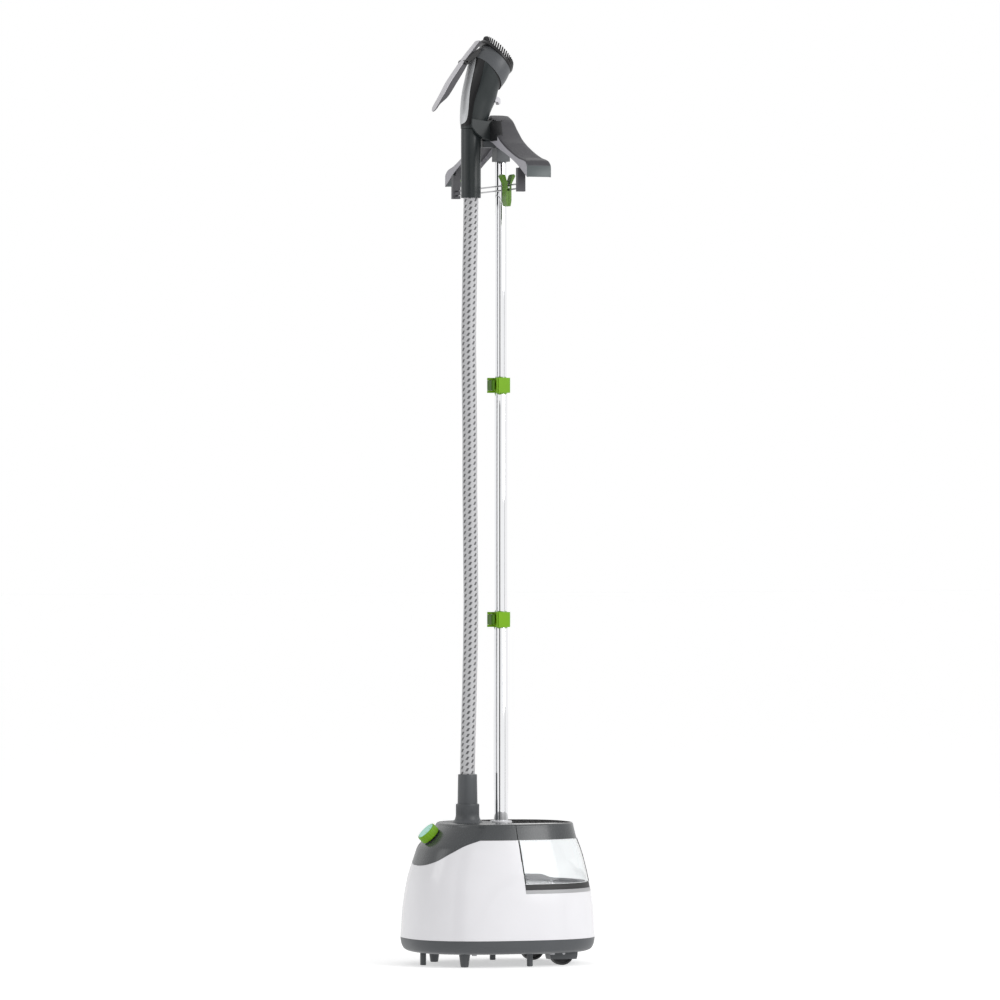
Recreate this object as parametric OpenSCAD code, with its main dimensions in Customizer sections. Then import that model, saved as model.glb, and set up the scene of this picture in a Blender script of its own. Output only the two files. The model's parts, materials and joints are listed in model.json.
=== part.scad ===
// Upright garment steamer: wheeled base with a lift-out water tank, a three-stage
// telescopic pole, a hanger with a clip rail, and a steam handset on a fabric hose.
// Millimetres, +Z up, front towards -Y, origin on the floor under the base's centre.

/* [Base] */
// Half of the base's length, at the seam above the tray
base_half_length = 160; // [154:1:166]
// Half of the base's width, at the same seam
base_half_width = 128; // [124:1:132]
// Height of the tray's underside above the floor
tray_bottom = 22; // [22:0.5:24]
// Height of the seam between tray and body
tray_top = 45; // [44:0.5:46]
// Wall of the casing mouldings
wall = 3; // [2.5:0.5:3.5]
// Wheel radius
wheel_r = 20; // [19:0.5:20.5]

/* [Tank] */
// Height of the tank's underside
tank_bottom = 128; // [126:1:130]
// Gap between the tank and the casing round it
tank_gap = 0.6; // [0.5:0.1:1]

/* [Pole] */
// Distance from the base's centre back to the pole
pole_y = 6; // [5:0.5:7]
// Outer radius of the lowest tube
tube_r = 11.75; // [11.5:0.05:12]
// Wall of each tube
tube_wall = 1.05; // [1:0.05:1.2]
// Radial clearance between one tube and the next
tube_clearance = 0.05; // [0.03:0.01:0.1]
// Height of the lower clamp's underside
lower_clamp_z = 559; // [555:1:563]
// Height of the upper clamp's underside
upper_clamp_z = 948; // [945:1:951]

/* [Hanger] */
// Half of the hanger's span
hanger_half = 200; // [190:1:205]
// Distance from the pole's plane to each rail post
post_x = 158; // [150:1:165]
// Distance from the pole's plane to each clip at rest
clip_x = 93; // [60:1:110]

/* [Handset] */
// Distance from the base's centre forward to the handset's sleeve
handset_y = -47; // [-47.5:0.5:-46.5]
// Outer radius of the sleeve round the hose's upper end
sleeve_r = 16.5; // [16:0.1:16.6]
// Width of the crease lever
lever_width = 25; // [20:1:25]

/* [Hose] */
// Outer diameter of the steam hose
hose_d = 24.5; // [24:0.1:25]

/* [Hidden] */

grey = [0.36, 0.37, 0.38];
dark = [0.16, 0.17, 0.17];
white = [0.93, 0.93, 0.94];
green = [0.45, 0.72, 0.07];
chrome = [0.82, 0.83, 0.85];
metal = [0.66, 0.67, 0.69];
round_n = 64;
hair = 0.05;

// Casing levels: height, then half width, reach to the front and reach to the rear, each
// as what is taken off the base's own half sizes.
casing = [[tray_top, 0, 0, 0], [90, 2, 3, 2.5], [142, 10, 11, 11], [180, 18, 23, 20],
    [194, 21, 28, 24.5], [209, 25, 41.5, 30], [231, 30, 61.4, 35.5], [235, 34, 68, 39]];
deck_top = 235;
tray = [[tray_bottom, 12, 12, 12], [tray_bottom + 5, 5, 5, 5], [tray_bottom + 13, 1.5, 1.5, 1.5],
    [tray_top, 0, 0, 0]];
plan_power = 2.5;
plan_steps = 40;

// Seam between body and deck, in the side view: level at the rear, falling to the front.
seam = [[-64, 209], [-88, 200], [-110, 187], [-131, 172], [-150, 163], [-190, 163]];
seam_level = 209;

hose_y = -53;
knob_place = [0, -122, 218];
valve_place = [28, 85, 0];
boiler_y = -58;
boiler_r = 40;
wheel_place = [70, 87, wheel_r];
axle_r = 2.5;

middle_r = tube_r - tube_wall - tube_clearance;
upper_r = middle_r - tube_wall - tube_clearance;
clamp_h = 25;
pin_r = 1.5;
running = 0.05;
lever_pin = [-8, -16.8];

hanger_front = -21.5;
hanger_rear = 20.5;
post_y = -17.5;
rail_z = 1285;
rail_half = 3.75;
wire_r = 1.25;
clip_z = rail_z;

// An oval outline with its own reach to the front and to the rear.
function oval(a, front, rear, power, steps) =
    [for (i = [0 : steps - 1])
        let (t = 360 * (i + 0.5) / steps, c = cos(t), s = sin(t))
        [a * sign(c) * pow(abs(c), 2 / power),
         (s < 0 ? front : rear) * sign(s) * pow(abs(s), 2 / power)]];

// One casing ring, with the wall taken off all round.
function casing_ring(level, inset) =
    [for (p = oval(base_half_width - level[1] - inset, base_half_length - level[2] - inset,
                   base_half_length - level[3] - inset, plan_power, plan_steps))
        [p[0], p[1], level[0]]];

// Joins rings of equal length, lowest first, into one closed solid.
module loft(rings) {
    k = len(rings[0]);
    m = len(rings);
    polyhedron(
        points = [for (r = rings) each r],
        faces = concat(
            [[for (i = [0 : k - 1]) i]],
            [for (j = [0 : m - 2], i = [0 : k - 1], h = [0, 1])
                let (a = j * k + i, b = j * k + (i + 1) % k)
                h == 0 ? [a, a + k, b + k] : [a, b + k, b]],
            [[for (i = [k - 1 : -1 : 0]) (m - 1) * k + i]]));
}

// The casing's outer form, and its hollow when inset is the wall.
module casing_form(inset, low, high) {
    loft([for (l = casing) let (z = l == casing[0] ? low : l == casing[7] ? high : l[0])
        casing_ring([z, l[1], l[2], l[3]], inset)]);
}

// Everything below the seam (or above it) in the side view.
module below_seam() {
    rotate([90, 0, 90]) translate([0, 0, -200]) linear_extrude(400)
        polygon(concat([[200, seam_level]], seam, [[-190, 0], [200, 0]]));
}

module above_seam(gap) {
    rotate([90, 0, 90]) translate([0, 0, -200]) linear_extrude(400)
        polygon(concat([for (p = concat([[200, seam_level]], seam)) [p[0], p[1] + gap]],
                       [[-190, 300], [200, 300]]));
}

// The space of the tank: behind a leaning seam and clear of the pole's tongue.
module tank_space(grow, low) {
    difference() {
        rotate([90, 0, 90]) translate([0, 0, -200]) linear_extrude(400)
            polygon([[5 - grow, low], [200, low], [200, 260], [-5.5 - grow, 260]]);
        translate([0, pole_y - 4, low - 1]) cylinder(r = 24 - grow, h = 262 - low, $fn = round_n);
    }
}

// A tube with its foot at z = low.
module tube(r_out, r_in, low, high) {
    translate([0, 0, low]) difference() {
        cylinder(r = r_out, h = high - low, $fn = round_n);
        translate([0, 0, -1]) cylinder(r = r_in, h = high - low + 2, $fn = round_n);
    }
}

// A box between two corners.
module block(a, b) {
    translate(a) cube(b - a);
}

module both_sides() {
    children();
    mirror([1, 0, 0]) children();
}

// --- Base ---------------------------------------------------------------------------------

module wheel_wells(r, half) {
    both_sides() translate(wheel_place) rotate([0, 90, 0])
        cylinder(r = r, h = 2 * half, center = true, $fn = round_n);
}

module base_tray() {
    inner = [for (l = tray) [l[0] < tray_top ? l[0] + wall : tray_top + 1, l[1], l[2], l[3]]];
    color(grey) difference() {
        union() {
            difference() {
                loft([for (l = tray) casing_ring(l, 0)]);
                loft([for (l = inner) casing_ring(l, wall)]);
            }
            intersection() {
                wheel_wells(24.5, 12);
                block([-100, 50, 10], [100, 125, 44.5]);
            }
        }
        wheel_wells(22.2, 9.5);
        wheel_wells(axle_r, 14);
        both_sides() block([-9.5 + 70, 64.8, 0], [9.5 + 70, 109.2, 20]);
        screw_places() translate([0, 0, tray_bottom - 1]) cylinder(r = 2, h = 8, $fn = 32);
        for (x = [-60 : 20 : 60])
            block([x - 2, -50, tray_bottom - 1], [x + 2, -10, tray_bottom + 5]);
    }
}

module screw_places() {
    for (p = [[-95, -75], [95, -75], [-100, 60], [100, 60]])
        translate([p[0], p[1], 0]) children();
}

module tray_screws() {
    color(metal) screw_places() {
        translate([0, 0, tray_bottom - 2.5]) cylinder(r = 4, h = 2.5, $fn = 32);
        translate([0, 0, tray_bottom]) cylinder(r = 2, h = 14, $fn = 32);
    }
}

module feet() {
    color(grey) {
        translate([0, -131, 0]) cylinder(r = 5, h = tray_bottom, $fn = 32);
        both_sides() translate([75, -85, 0]) cylinder(r1 = 6.5, r2 = 9.5, h = tray_bottom, $fn = 32);
        both_sides() translate([90, 24, 0]) cylinder(r = 5, h = tray_bottom, $fn = 32);
    }
}

module wheel() {
    rotate([0, 90, 0]) difference() {
        union() {
            cylinder(r = wheel_r, h = 14, center = true, $fn = round_n);
            cylinder(r = 7, h = 18.4, center = true, $fn = round_n);
        }
        cylinder(r = axle_r + running, h = 30, center = true, $fn = round_n);
        for (s = [-1, 1]) translate([0, 0, s * 8]) difference() {
            cylinder(r = wheel_r - 4, h = 6, center = true, $fn = round_n);
            cylinder(r = 7, h = 8, center = true, $fn = round_n);
        }
    }
}

module right_wheel() {
    color(dark) translate(wheel_place) wheel();
}

module left_wheel() {
    color(dark) mirror([1, 0, 0]) translate(wheel_place) wheel();
}

module wheel_axles() {
    color(metal) both_sides() translate(wheel_place) rotate([0, 90, 0])
        cylinder(r = axle_r, h = 24, center = true, $fn = round_n);
}

module body_shell() {
    color(white) difference() {
        intersection() {
            difference() {
                casing_form(0, tray_top, deck_top);
                casing_form(wall, tray_top - 1, deck_top - wall);
            }
            below_seam();
        }
        tank_space(0, tank_bottom - tank_gap);
    }
}

module tank_bay() {
    color(white) difference() {
        intersection() {
            casing_form(wall + 0.3, tray_top, deck_top - wall - 0.5);
            union() {
                block([-150, 0, tank_bottom - 4.6], [150, 170, tank_bottom - tank_gap]);
                difference() {
                    tank_space(3.2, tank_bottom - 4.6);
                    tank_space(0.6, tank_bottom - 5);
                }
            }
            block([-150, -60, 100], [150, 170, seam_level - 1]);
        }
        translate([0, pole_y, 0]) cylinder(r = 16.6, h = 300, $fn = round_n);
        translate(valve_place) cylinder(r = 9.6, h = 200, $fn = round_n);
    }
}

module deck_cover() {
    color(grey) difference() {
        union() {
            difference() {
                intersection() {
                    difference() {
                        casing_form(0, tray_top, deck_top);
                        casing_form(wall, tray_top - 1, deck_top - wall);
                    }
                    above_seam(0);
                }
                tank_space(0, 100);
            }
            knob_frame() translate([0, 0, -15]) cylinder(r = 8, h = 7.6, $fn = round_n);
        }
        translate([0, pole_y, 200]) cylinder(r = 16.5, h = 50, $fn = round_n);
        translate([0, hose_y, 200]) cylinder(r = 17, h = 50, $fn = round_n);
        knob_frame() translate([0, 0, -30]) cylinder(r = 3 + running, h = 60, $fn = round_n);
    }
}

// --- Foot dial ------------------------------------------------------------------------------

module knob_frame() {
    translate(knob_place) rotate([45, 0, 0]) children();
}

module dial_knob() {
    color(green) knob_frame() {
        translate([0, 0, -6.8]) difference() {
            cylinder(r = 17.5, h = 13.3, $fn = round_n);
            translate([0, 0, 12.3]) cylinder(r = 15, h = 2, $fn = round_n);
            for (i = [0 : 23]) rotate([0, 0, 15 * i]) translate([18.1, 0, 2])
                cylinder(r = 1.1, h = 14, $fn = 16);
        }
        translate([0, 0, -26]) cylinder(r = 3, h = 20, $fn = round_n);
    }
}

module dial_face() {
    color([0.75, 0.95, 0.88]) knob_frame() translate([0, 0, 5.5])
        cylinder(r = 15, h = 1.6, $fn = round_n);
}

module dial_switch() {
    color(dark) knob_frame() difference() {
        union() {
            translate([-14, -11, -32]) cube([28, 22, 13]);
            translate([0, 0, -19]) cylinder(r = 7, h = 3.9, $fn = round_n);
        }
        translate([0, 0, -27]) cylinder(r = 3 + running, h = 20, $fn = round_n);
    }
}

// --- Boiler and water path ------------------------------------------------------------------

module boiler_bolts(h, low, r) {
    for (i = [0 : 5]) translate([0, boiler_y, low]) rotate([0, 0, 60 * i + 30])
        translate([43, 0, 0]) cylinder(r = r, h = h, $fn = 24);
}

module boiler_lower() {
    color(metal) difference() {
        union() {
            translate([0, boiler_y, 58]) cylinder(r = boiler_r, h = 50, $fn = round_n);
            translate([0, boiler_y, 104]) cylinder(r = 46, h = 4, $fn = round_n);
            for (i = [0 : 2]) translate([0, boiler_y, tray_bottom + wall]) rotate([0, 0, 120 * i + 90])
                translate([35, 0, 0]) cylinder(r = 4, h = 60 - tray_bottom - wall, $fn = 32);
            translate([28, -25, 84]) rotate([90, 0, 0]) cylinder(r = 7, h = 15, $fn = 32);
        }
        translate([0, boiler_y, 62]) cylinder(r = boiler_r - 4, h = 60, $fn = round_n);
        translate([28, -20, 84]) rotate([90, 0, 0]) cylinder(r = 3, h = 30, $fn = 32);
        boiler_bolts(12, 100, 2);
    }
}

module boiler_gasket() {
    color(dark) translate([0, boiler_y, 0]) tube(40, 36.5, 108, 110.5);
}

module boiler_upper() {
    color(metal) difference() {
        union() {
            translate([0, boiler_y, 0]) rotate_extrude($fn = round_n)
                polygon([[0, 110.5], [46, 110.5], [46, 114.5], [boiler_r, 114.5], [boiler_r, 136],
                         [34, 146], [0, 146]]);
            translate([0, hose_y, 140]) cylinder(r = 9, h = 14, $fn = round_n);
        }
        translate([0, boiler_y, 0]) rotate_extrude($fn = round_n)
            polygon([[0, 109], [36.5, 109], [36.5, 134], [32, 142], [0, 142]]);
        translate([0, hose_y, 130]) cylinder(r = 6, h = 40, $fn = round_n);
        boiler_bolts(12, 108, 2);
    }
}

module boiler_screws() {
    color(metal) {
        boiler_bolts(12.5, 102, 2);
        boiler_bolts(3, 114.5, 2.9);
    }
}

module heating_element() {
    color(metal) translate([0, boiler_y, 54]) {
        rotate_extrude(angle = 320, $fn = round_n) translate([24, 0]) circle(r = 4, $fn = 24);
        for (a = [0, 320]) rotate([0, 0, a]) translate([24, 0, -10])
            cylinder(r = 2, h = 10, $fn = 24);
    }
}

module thermostat() {
    color(dark) translate([22, boiler_y - 2, 146]) {
        cylinder(r = 8, h = 7, $fn = 32);
        for (s = [-1, 1]) translate([s * 4 - 0.4, -3, 7]) cube([0.8, 6, 8]);
    }
}

module steam_pipe() {
    color([0.85, 0.5, 0.35]) translate([0, hose_y, 0]) tube(8, 6, 154, 262);
}

module feed_pipe() {
    color([0.8, 0.85, 0.88]) translate([28, -25, 84]) rotate([-90, 0, 0]) tube(5, 3, 0, 85);
}

module valve_receiver() {
    color(white) translate([valve_place[0], valve_place[1], 0]) difference() {
        union() {
            translate([0, 0, 76]) cylinder(r = 12, h = tank_bottom - 4.6 - 76, $fn = round_n);
            translate([0, -25, 84]) rotate([-90, 0, 0]) cylinder(r = 5, h = 20, $fn = 32);
        }
        difference() {
            translate([0, 0, 79]) cylinder(r = 9.6, h = 60, $fn = round_n);
            translate([0, 0, 79]) cylinder(r = 2, h = 28.6, $fn = 32);
        }
        translate([0, -26, 84]) rotate([-90, 0, 0]) cylinder(r = 3, h = 20, $fn = 32);
    }
}

// --- Tank -----------------------------------------------------------------------------------

module tank_part(low, high) {
    difference() {
        intersection() {
            casing_form(0, tray_top, deck_top);
            tank_space(-tank_gap, low);
            block([-150, -40, low], [150, 170, high]);
        }
        children();
    }
}

module tank_hollow(low, high) {
    intersection() {
        casing_form(2.6, tray_top, deck_top);
        tank_space(-tank_gap - 2.6, low);
        block([-150, -40, low], [150, 170, high]);
    }
}

module tank_base() {
    color(dark) difference() {
        union() {
            tank_part(tank_bottom, 137) tank_hollow(131, 138);
            translate(valve_place) translate([0, 0, 112]) cylinder(r = 9, h = 16.5, $fn = round_n);
        }
        translate(valve_place) {
            translate([0, 0, 111]) cylinder(r = 7, h = 17, $fn = round_n);
            cylinder(r = 2 + running, h = 140, $fn = 32);
            for (i = [0 : 3]) rotate([0, 0, 90 * i + 45]) translate([4.6, 0, 120])
                cylinder(r = 1.3, h = 15, $fn = 24);
        }
    }
}

module tank_shell() {
    color([0.9, 0.93, 0.95, 0.4]) tank_part(137, seam_level) tank_hollow(136, 210);
}

module tank_cover() {
    color(grey) tank_part(seam_level, deck_top) tank_hollow(208, 232);
}

module valve_plunger() {
    color(white) translate(valve_place) {
        translate([0, 0, 108]) cylinder(r = 2, h = 30, $fn = 32);
        translate([0, 0, 131]) cylinder(r = 6.5, h = 2, $fn = 32);
        translate([0, 0, 115.5]) cylinder(r = 5, h = 1.8, $fn = 32);
    }
}

module valve_spring() {
    turns = 5;
    steps = 14;
    low = 118.05;
    high = 127.25;
    color(metal) sweep([for (i = [0 : turns * steps])
        let (a = 360 * i / steps)
        [valve_place[0] + 3.6 * cos(a), valve_place[1] + 3.6 * sin(a),
         low + (high - low) * i / (turns * steps)]], 0.7, 6);
}

// --- Pole -----------------------------------------------------------------------------------

module pole_socket() {
    color(white) translate([0, pole_y, 0]) {
        tube(16, tube_r, 60, deck_top);
        tube(18.5, tube_r, deck_top, deck_top + 2.5);
        translate([0, 0, 56]) cylinder(r = 16, h = 4, $fn = round_n);
        translate([0, 0, tray_bottom + wall]) tube(8, 5, 0, 56 - tray_bottom - wall);
    }
}

module pole_lower() {
    color(chrome) translate([0, pole_y, 0])
        tube(tube_r, tube_r - tube_wall, 60, lower_clamp_z + 17);
}

module pole_middle() {
    color(chrome) translate([0, pole_y, 0])
        tube(middle_r, middle_r - tube_wall, lower_clamp_z - 60, upper_clamp_z + 17);
}

module pole_upper() {
    color(chrome) translate([0, pole_y, 0])
        tube(upper_r, upper_r - tube_wall, upper_clamp_z - 60, 1362);
}

// A clamp with two ears for the lever's pin; it is gripped on the outer tube and lets the
// inner one run.
module clamp(low, outer_r, inner_r) {
    translate([0, pole_y, low]) difference() {
        union() {
            block([-12, -12, 0], [12, 12, clamp_h]);
            block([-14, -9, 0], [14, 9, clamp_h]);
            for (z = [0, clamp_h - 4]) {
                translate([lever_pin[0], lever_pin[1], z]) cylinder(r = 4.5, h = 4, $fn = 32);
                block([lever_pin[0] - 4.5, lever_pin[1], z], [lever_pin[0] + 4.5, -10, z + 4]);
            }
        }
        translate([0, 0, -1]) cylinder(r = outer_r, h = 18, $fn = round_n);
        cylinder(r = inner_r + running, h = clamp_h + 1, $fn = round_n);
        translate([lever_pin[0], lever_pin[1], -1])
            cylinder(r = pin_r, h = clamp_h + 2, $fn = 32);
    }
}

module clamp_lever(low) {
    translate([0, pole_y, low + 4.3]) difference() {
        union() {
            translate([lever_pin[0], lever_pin[1], 0]) cylinder(r = 4.3, h = 16.4, $fn = 32);
            block([lever_pin[0], -20.6, 0], [9.5, -14.6, 16.4]);
            translate([9.5, -17.6, 0]) cylinder(r = 3, h = 16.4, $fn = 32);
        }
        translate([lever_pin[0], lever_pin[1], -1])
            cylinder(r = pin_r + running, h = 20, $fn = 32);
    }
}

module clamp_pin(low) {
    translate([lever_pin[0], pole_y + lever_pin[1], low])
        cylinder(r = pin_r, h = clamp_h, $fn = 32);
}

module lower_clamp() { color(green) clamp(lower_clamp_z, tube_r, middle_r); }
module upper_clamp() { color(green) clamp(upper_clamp_z, middle_r, upper_r); }
module lower_lever() { color(green * 0.8) clamp_lever(lower_clamp_z); }
module upper_lever() { color(green * 0.8) clamp_lever(upper_clamp_z); }
module lower_lever_pin() { color(metal) clamp_pin(lower_clamp_z); }
module upper_lever_pin() { color(metal) clamp_pin(upper_clamp_z); }

// --- Hanger ---------------------------------------------------------------------------------

// Half outlines of the hanger, from the middle to the tip: its crown and its lower edge.
crown = [[0, 1408], [20, 1400], [40, 1385], [72, 1364], [115, 1346], [160, 1332],
    [hanger_half - 8, 1325], [hanger_half, 1317]];
edge = [[hanger_half, 1298], [152, 1321], [106, 1338], [60, 1352], [20, 1364]];

function mirrored(points) = [for (i = [len(points) - 1 : -1 : 0]) [-points[i][0], points[i][1]]];

module hanger_slab(points, front, rear) {
    translate([0, rear, 0]) rotate([90, 0, 0]) linear_extrude(rear - front) polygon(points);
}

module hanger_shell() {
    inner = [for (p = crown) [p[0] * (1 - 3 / hanger_half), p[1] - 3.2]];
    color(grey) difference() {
        hanger_slab(concat(crown, edge, mirrored(edge), mirrored(crown)), hanger_front, hanger_rear);
        hanger_slab(concat(inner, [[hanger_half - 3, 1280]], [[3 - hanger_half, 1280]],
                           mirrored(inner)), hanger_front + 3, hanger_rear - 3);
        block([-24.8, -40, 1300], [24.8, -13, 1420]);
        both_sides() block([20.6, -40, 1300], [24.8, 0.4, 1420]);
    }
    color(grey) block([-20.6, -13, 1366], [20.6, -10, 1401]);
}

module hanger_socket() {
    color(grey) difference() {
        union() {
            block([-12.5, pole_y - 11.5, 1332], [12.5, pole_y + 11.5, 1366]);
            translate([0, pole_y, 1366]) cylinder(r = 9, h = 35, $fn = round_n);
            block([-9, -28, 1355], [9, pole_y - 11, 1365.4]);
        }
        translate([0, pole_y, 1330]) cylinder(r = upper_r, h = 32, $fn = round_n);
        translate([0, pole_y, 1340]) tube(6, 4, 0, 20);
    }
}

// Side view of the cradle's cheeks, front to rear.
cheek = [[-54, 1402], [-54, 1388], [-46, 1378], [-36, 1371], [-24, 1366], [0, 1366],
    [0, 1398], [-26, 1398]];

module cradle_fork() {
    color(dark) difference() {
        rotate([90, 0, 90]) translate([0, 0, -24.5]) linear_extrude(49) polygon(cheek);
        translate([0, handset_y, 1300]) cylinder(r = 17.3, h = 120, $fn = round_n);
        block([-17.3, -80, 1300], [17.3, handset_y, 1420]);
        block([-21, -80, 1385.6], [21, 5, 1420]);
        block([-21, -13.3, 1300], [21, 5, 1420]);
    }
}

module hanger_posts() {
    color(grey) both_sides() difference() {
        union() {
            block([post_x - 5, post_y - 6, 1276], [post_x + 5, post_y + 7, 1315]);
            block([post_x - 5, hanger_front + 3.3, 1300], [post_x + 5, post_y + 7, 1327.2]);
        }
        for (s = [-1, 1]) translate([post_x - 6, post_y, rail_z + s * rail_half])
            rotate([0, 90, 0]) cylinder(r = wire_r, h = 7, $fn = 32);
    }
}

module trouser_rail() {
    color(chrome) for (s = [-1, 1]) translate([0, post_y, rail_z + s * rail_half])
        rotate([0, 90, 0]) cylinder(r = wire_r, h = 2 * post_x - 8, center = true, $fn = 32);
}

// A peg's jaw in its own frame, at the pin; side is -1 for the front jaw and 1 for the rear.
module clip_jaw(side, ear_x) {
    difference() {
        union() {
            rotate([90, 0, 90]) translate([0, 0, -10]) linear_extrude(20)
                polygon([for (p = [[0.25, -31], [3, -31], [4.6, -22], [4.6, 5], [11.5, 19],
                                   [9, 22], [6.4, 20], [2.6, 8], [0.25, 1]])
                    [side * p[0], p[1]]]);
            for (s = [-1, 1]) translate([s * ear_x, 0, 0]) rotate([0, 90, 0])
                cylinder(r = 2.2, h = 2, center = true, $fn = 32);
            for (s = [-1, 1]) block([s * ear_x - 1, side > 0 ? 0 : -3, -1.4],
                                    [s * ear_x + 1, side > 0 ? 3 : 0, 1.4]);
        }
        for (s = [-1, 1]) translate([0, 0, s * 3.9])
            block([-12, side > 0 ? -2 : -2.6, -1.65], [12, side > 0 ? 2.6 : 2, 1.65]);
        difference() {
            block([-11, side > 0 ? 0 : -2.6, -2.4], [11, side > 0 ? 2.6 : 0, 2.4]);
            for (s = [-1, 1]) block([s * ear_x - 1, -3, -2.2], [s * ear_x + 1, 3, 2.2]);
        }
        rotate([0, 90, 0]) cylinder(r = 1.2 + running, h = 30, center = true, $fn = 32);
    }
}

module clip_at(side) {
    translate([side * clip_x, post_y, clip_z]) children();
}

module clip_pin() {
    rotate([0, 90, 0]) cylinder(r = 1.2, h = 20, center = true, $fn = 32);
}

clip_green = green * 0.75;
module left_clip_front() { color(clip_green) clip_at(-1) clip_jaw(-1, 8.8); }
module left_clip_rear() { color(clip_green) clip_at(-1) clip_jaw(1, 6.2); }
module left_clip_pin() { color(metal) clip_at(-1) clip_pin(); }
module right_clip_front() { color(clip_green) clip_at(1) clip_jaw(-1, 8.8); }
module right_clip_rear() { color(clip_green) clip_at(1) clip_jaw(1, 6.2); }
module right_clip_pin() { color(metal) clip_at(1) clip_pin(); }

// --- Handset --------------------------------------------------------------------------------

// Stations of the grip and head: the front point and the rear point in the side view, as
// distance from the sleeve's axis and height, and the half width.
grip = [[[-17, 1386], [21, 1386], 18.5], [[-17.5, 1402], [28.5, 1400], 20],
    [[-17.5, 1424], [34, 1415], 22.5], [[-16, 1447], [40, 1428], 25.5],
    [[-12, 1470], [44, 1437], 30], [[-4, 1498], [48, 1448], 34.5]];
head = [[[-4, 1498], [48, 1448], 34.5], [[7.5, 1514], [58.5, 1464.5], 37.5],
    [[21.9, 1525.1], [65.5, 1478.1], 37]];
face_center = [0, handset_y + 43.7, 1501.6];
face_tilt = 47.2;
face_half = [37, 32.05];
// The comb's oval reaches further to the front than the face, as a visor.
comb_half = [37.6, 36.9];
comb_shift = -3.4;
station_steps = 32;

// One station's ring, with the skin grown or shrunk and moved along its normal.
function station(s, grow, move) =
    let (c = (s[0] + s[1]) / 2, h = (s[1] - s[0]) / 2, l = norm(h), n = [-h[1], h[0]] / l,
         r = h * (l + grow) / l)
    [for (i = [0 : station_steps - 1])
        let (t = 360 * (i + 0.5) / station_steps)
        [(s[2] + grow) * cos(t),
         handset_y + c[0] + r[0] * sin(t) + n[0] * move,
         c[1] + r[1] * sin(t) + n[1] * move]];

module stations(list, grow, over) {
    last = len(list) - 1;
    loft([for (i = [0 : last]) station(list[i], grow, i == 0 ? -over : i == last ? over : 0)]);
}

// A side-view outline in the handset's own distances, drawn over a stretch of width.
module side_plate(points, half) {
    translate([-half, handset_y, 0]) rotate([90, 0, 90]) linear_extrude(2 * half) polygon(points);
}

module at_pin(place) {
    translate([0, handset_y + place[0], place[1]]) rotate([0, 90, 0]) children();
}

trigger_pin = [36, 1436];

module handle_shell() {
    color(dark) difference() {
        union() {
            difference() {
                stations(grip, 0, 0);
                stations(grip, -2.6, 2);
                side_plate([[30, 1421], [60, 1421], [60, 1441], [30, 1441]], 7.6);
            }
            both_sides() translate([9, handset_y + trigger_pin[0], trigger_pin[1]])
                rotate([0, 90, 0]) cylinder(r = 3.4, h = 2.4, center = true, $fn = 32);
            difference() {
                translate([0, handset_y, 1386]) cylinder(r = 16.6, h = 8, $fn = round_n);
                translate([0, handset_y, 1380]) cylinder(r = 7.2, h = 20, $fn = round_n);
            }
        }
        at_pin(trigger_pin) cylinder(r = 1.5 + running, h = 30, center = true, $fn = 32);
    }
}

module handle_panel() {
    color([0.78, 0.79, 0.8]) intersection() {
        difference() {
            stations(grip, 1.2, 0);
            stations(grip, hair, 0);
        }
        side_plate([[-40, 1390], [-14, 1389.5], [-8, 1404], [-7, 1425], [-5, 1447], [0, 1468],
                    [3, 1482], [-40, 1482]], 60);
    }
}

module handset_sleeve() {
    color(dark) translate([0, handset_y, 0]) tube(sleeve_r, hose_d / 2 + 0.45, 1271, 1385.9);
}

module steam_tube() {
    line = [[0, handset_y, 1331], [0, handset_y, 1422], [0, handset_y + 4, 1438],
        [0, handset_y + 33.5, 1489]];
    color([0.85, 0.5, 0.35]) difference() {
        sweep(line, 7, 16);
        sweep(concat([line[0] - [0, 0, 2]], [line[1], line[2]], [line[3] + [0, 1, 1.9]]), 5, 16);
    }
}

crease_pivot = [-12.5, 1496];

module head_shell() {
    color(grey) difference() {
        union() {
            stations(head, 0, 0);
            intersection() {
                union() {
                    side_plate([[-14, 1500.2], [0, 1513], [12, 1517], [12, 1508], [-2.5, 1500],
                                [-11, 1491.8]], 16.3);
                    at_pin(crease_pivot) cylinder(r = 4.5, h = 32.6, center = true, $fn = 32);
                }
                both_sides() block([13.3, -100, 1480], [16.3, 0, 1530]);
            }
        }
        stations(head, -2.6, 2);
        at_pin(crease_pivot) cylinder(r = pin_r, h = 40, center = true, $fn = 32);
    }
}

module face_frame() {
    translate(face_center) rotate([-face_tilt, 0, 0]) children();
}

module face_oval(grow) {
    polygon(oval(face_half[0] + grow, face_half[1] + grow, face_half[1] + grow, 2, station_steps * 2));
}

module comb_oval() {
    translate([0, comb_shift]) polygon(oval(comb_half[0], comb_half[1], comb_half[1], 2,
                                            station_steps * 2));
}

module steam_plate() {
    color(chrome) face_frame() difference() {
        translate([0, 0, -4]) linear_extrude(4) face_oval(-3);
        for (x = [-24 : 12 : 24], y = [-12, 0, 12]) translate([x, y, -5])
            cylinder(r = 1.5, h = 6, $fn = 24);
    }
}

module comb_frame() {
    teeth = 44;
    color(grey) face_frame() {
        difference() {
            translate([0, 0, 0.3]) linear_extrude(5.3) comb_oval();
            translate([0, 0, -1]) linear_extrude(8) face_oval(-4.5);
        }
        for (i = [0 : teeth - 1]) let (t = 360 * (i + 0.5) / teeth)
            translate([(face_half[0] - 2) * cos(t), (face_half[1] + 0.6) * sin(t) - 1.4, 4.6])
                rotate([33, 0, 0]) cylinder(r = 0.95, h = 10.8, $fn = 6);
    }
}

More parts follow.
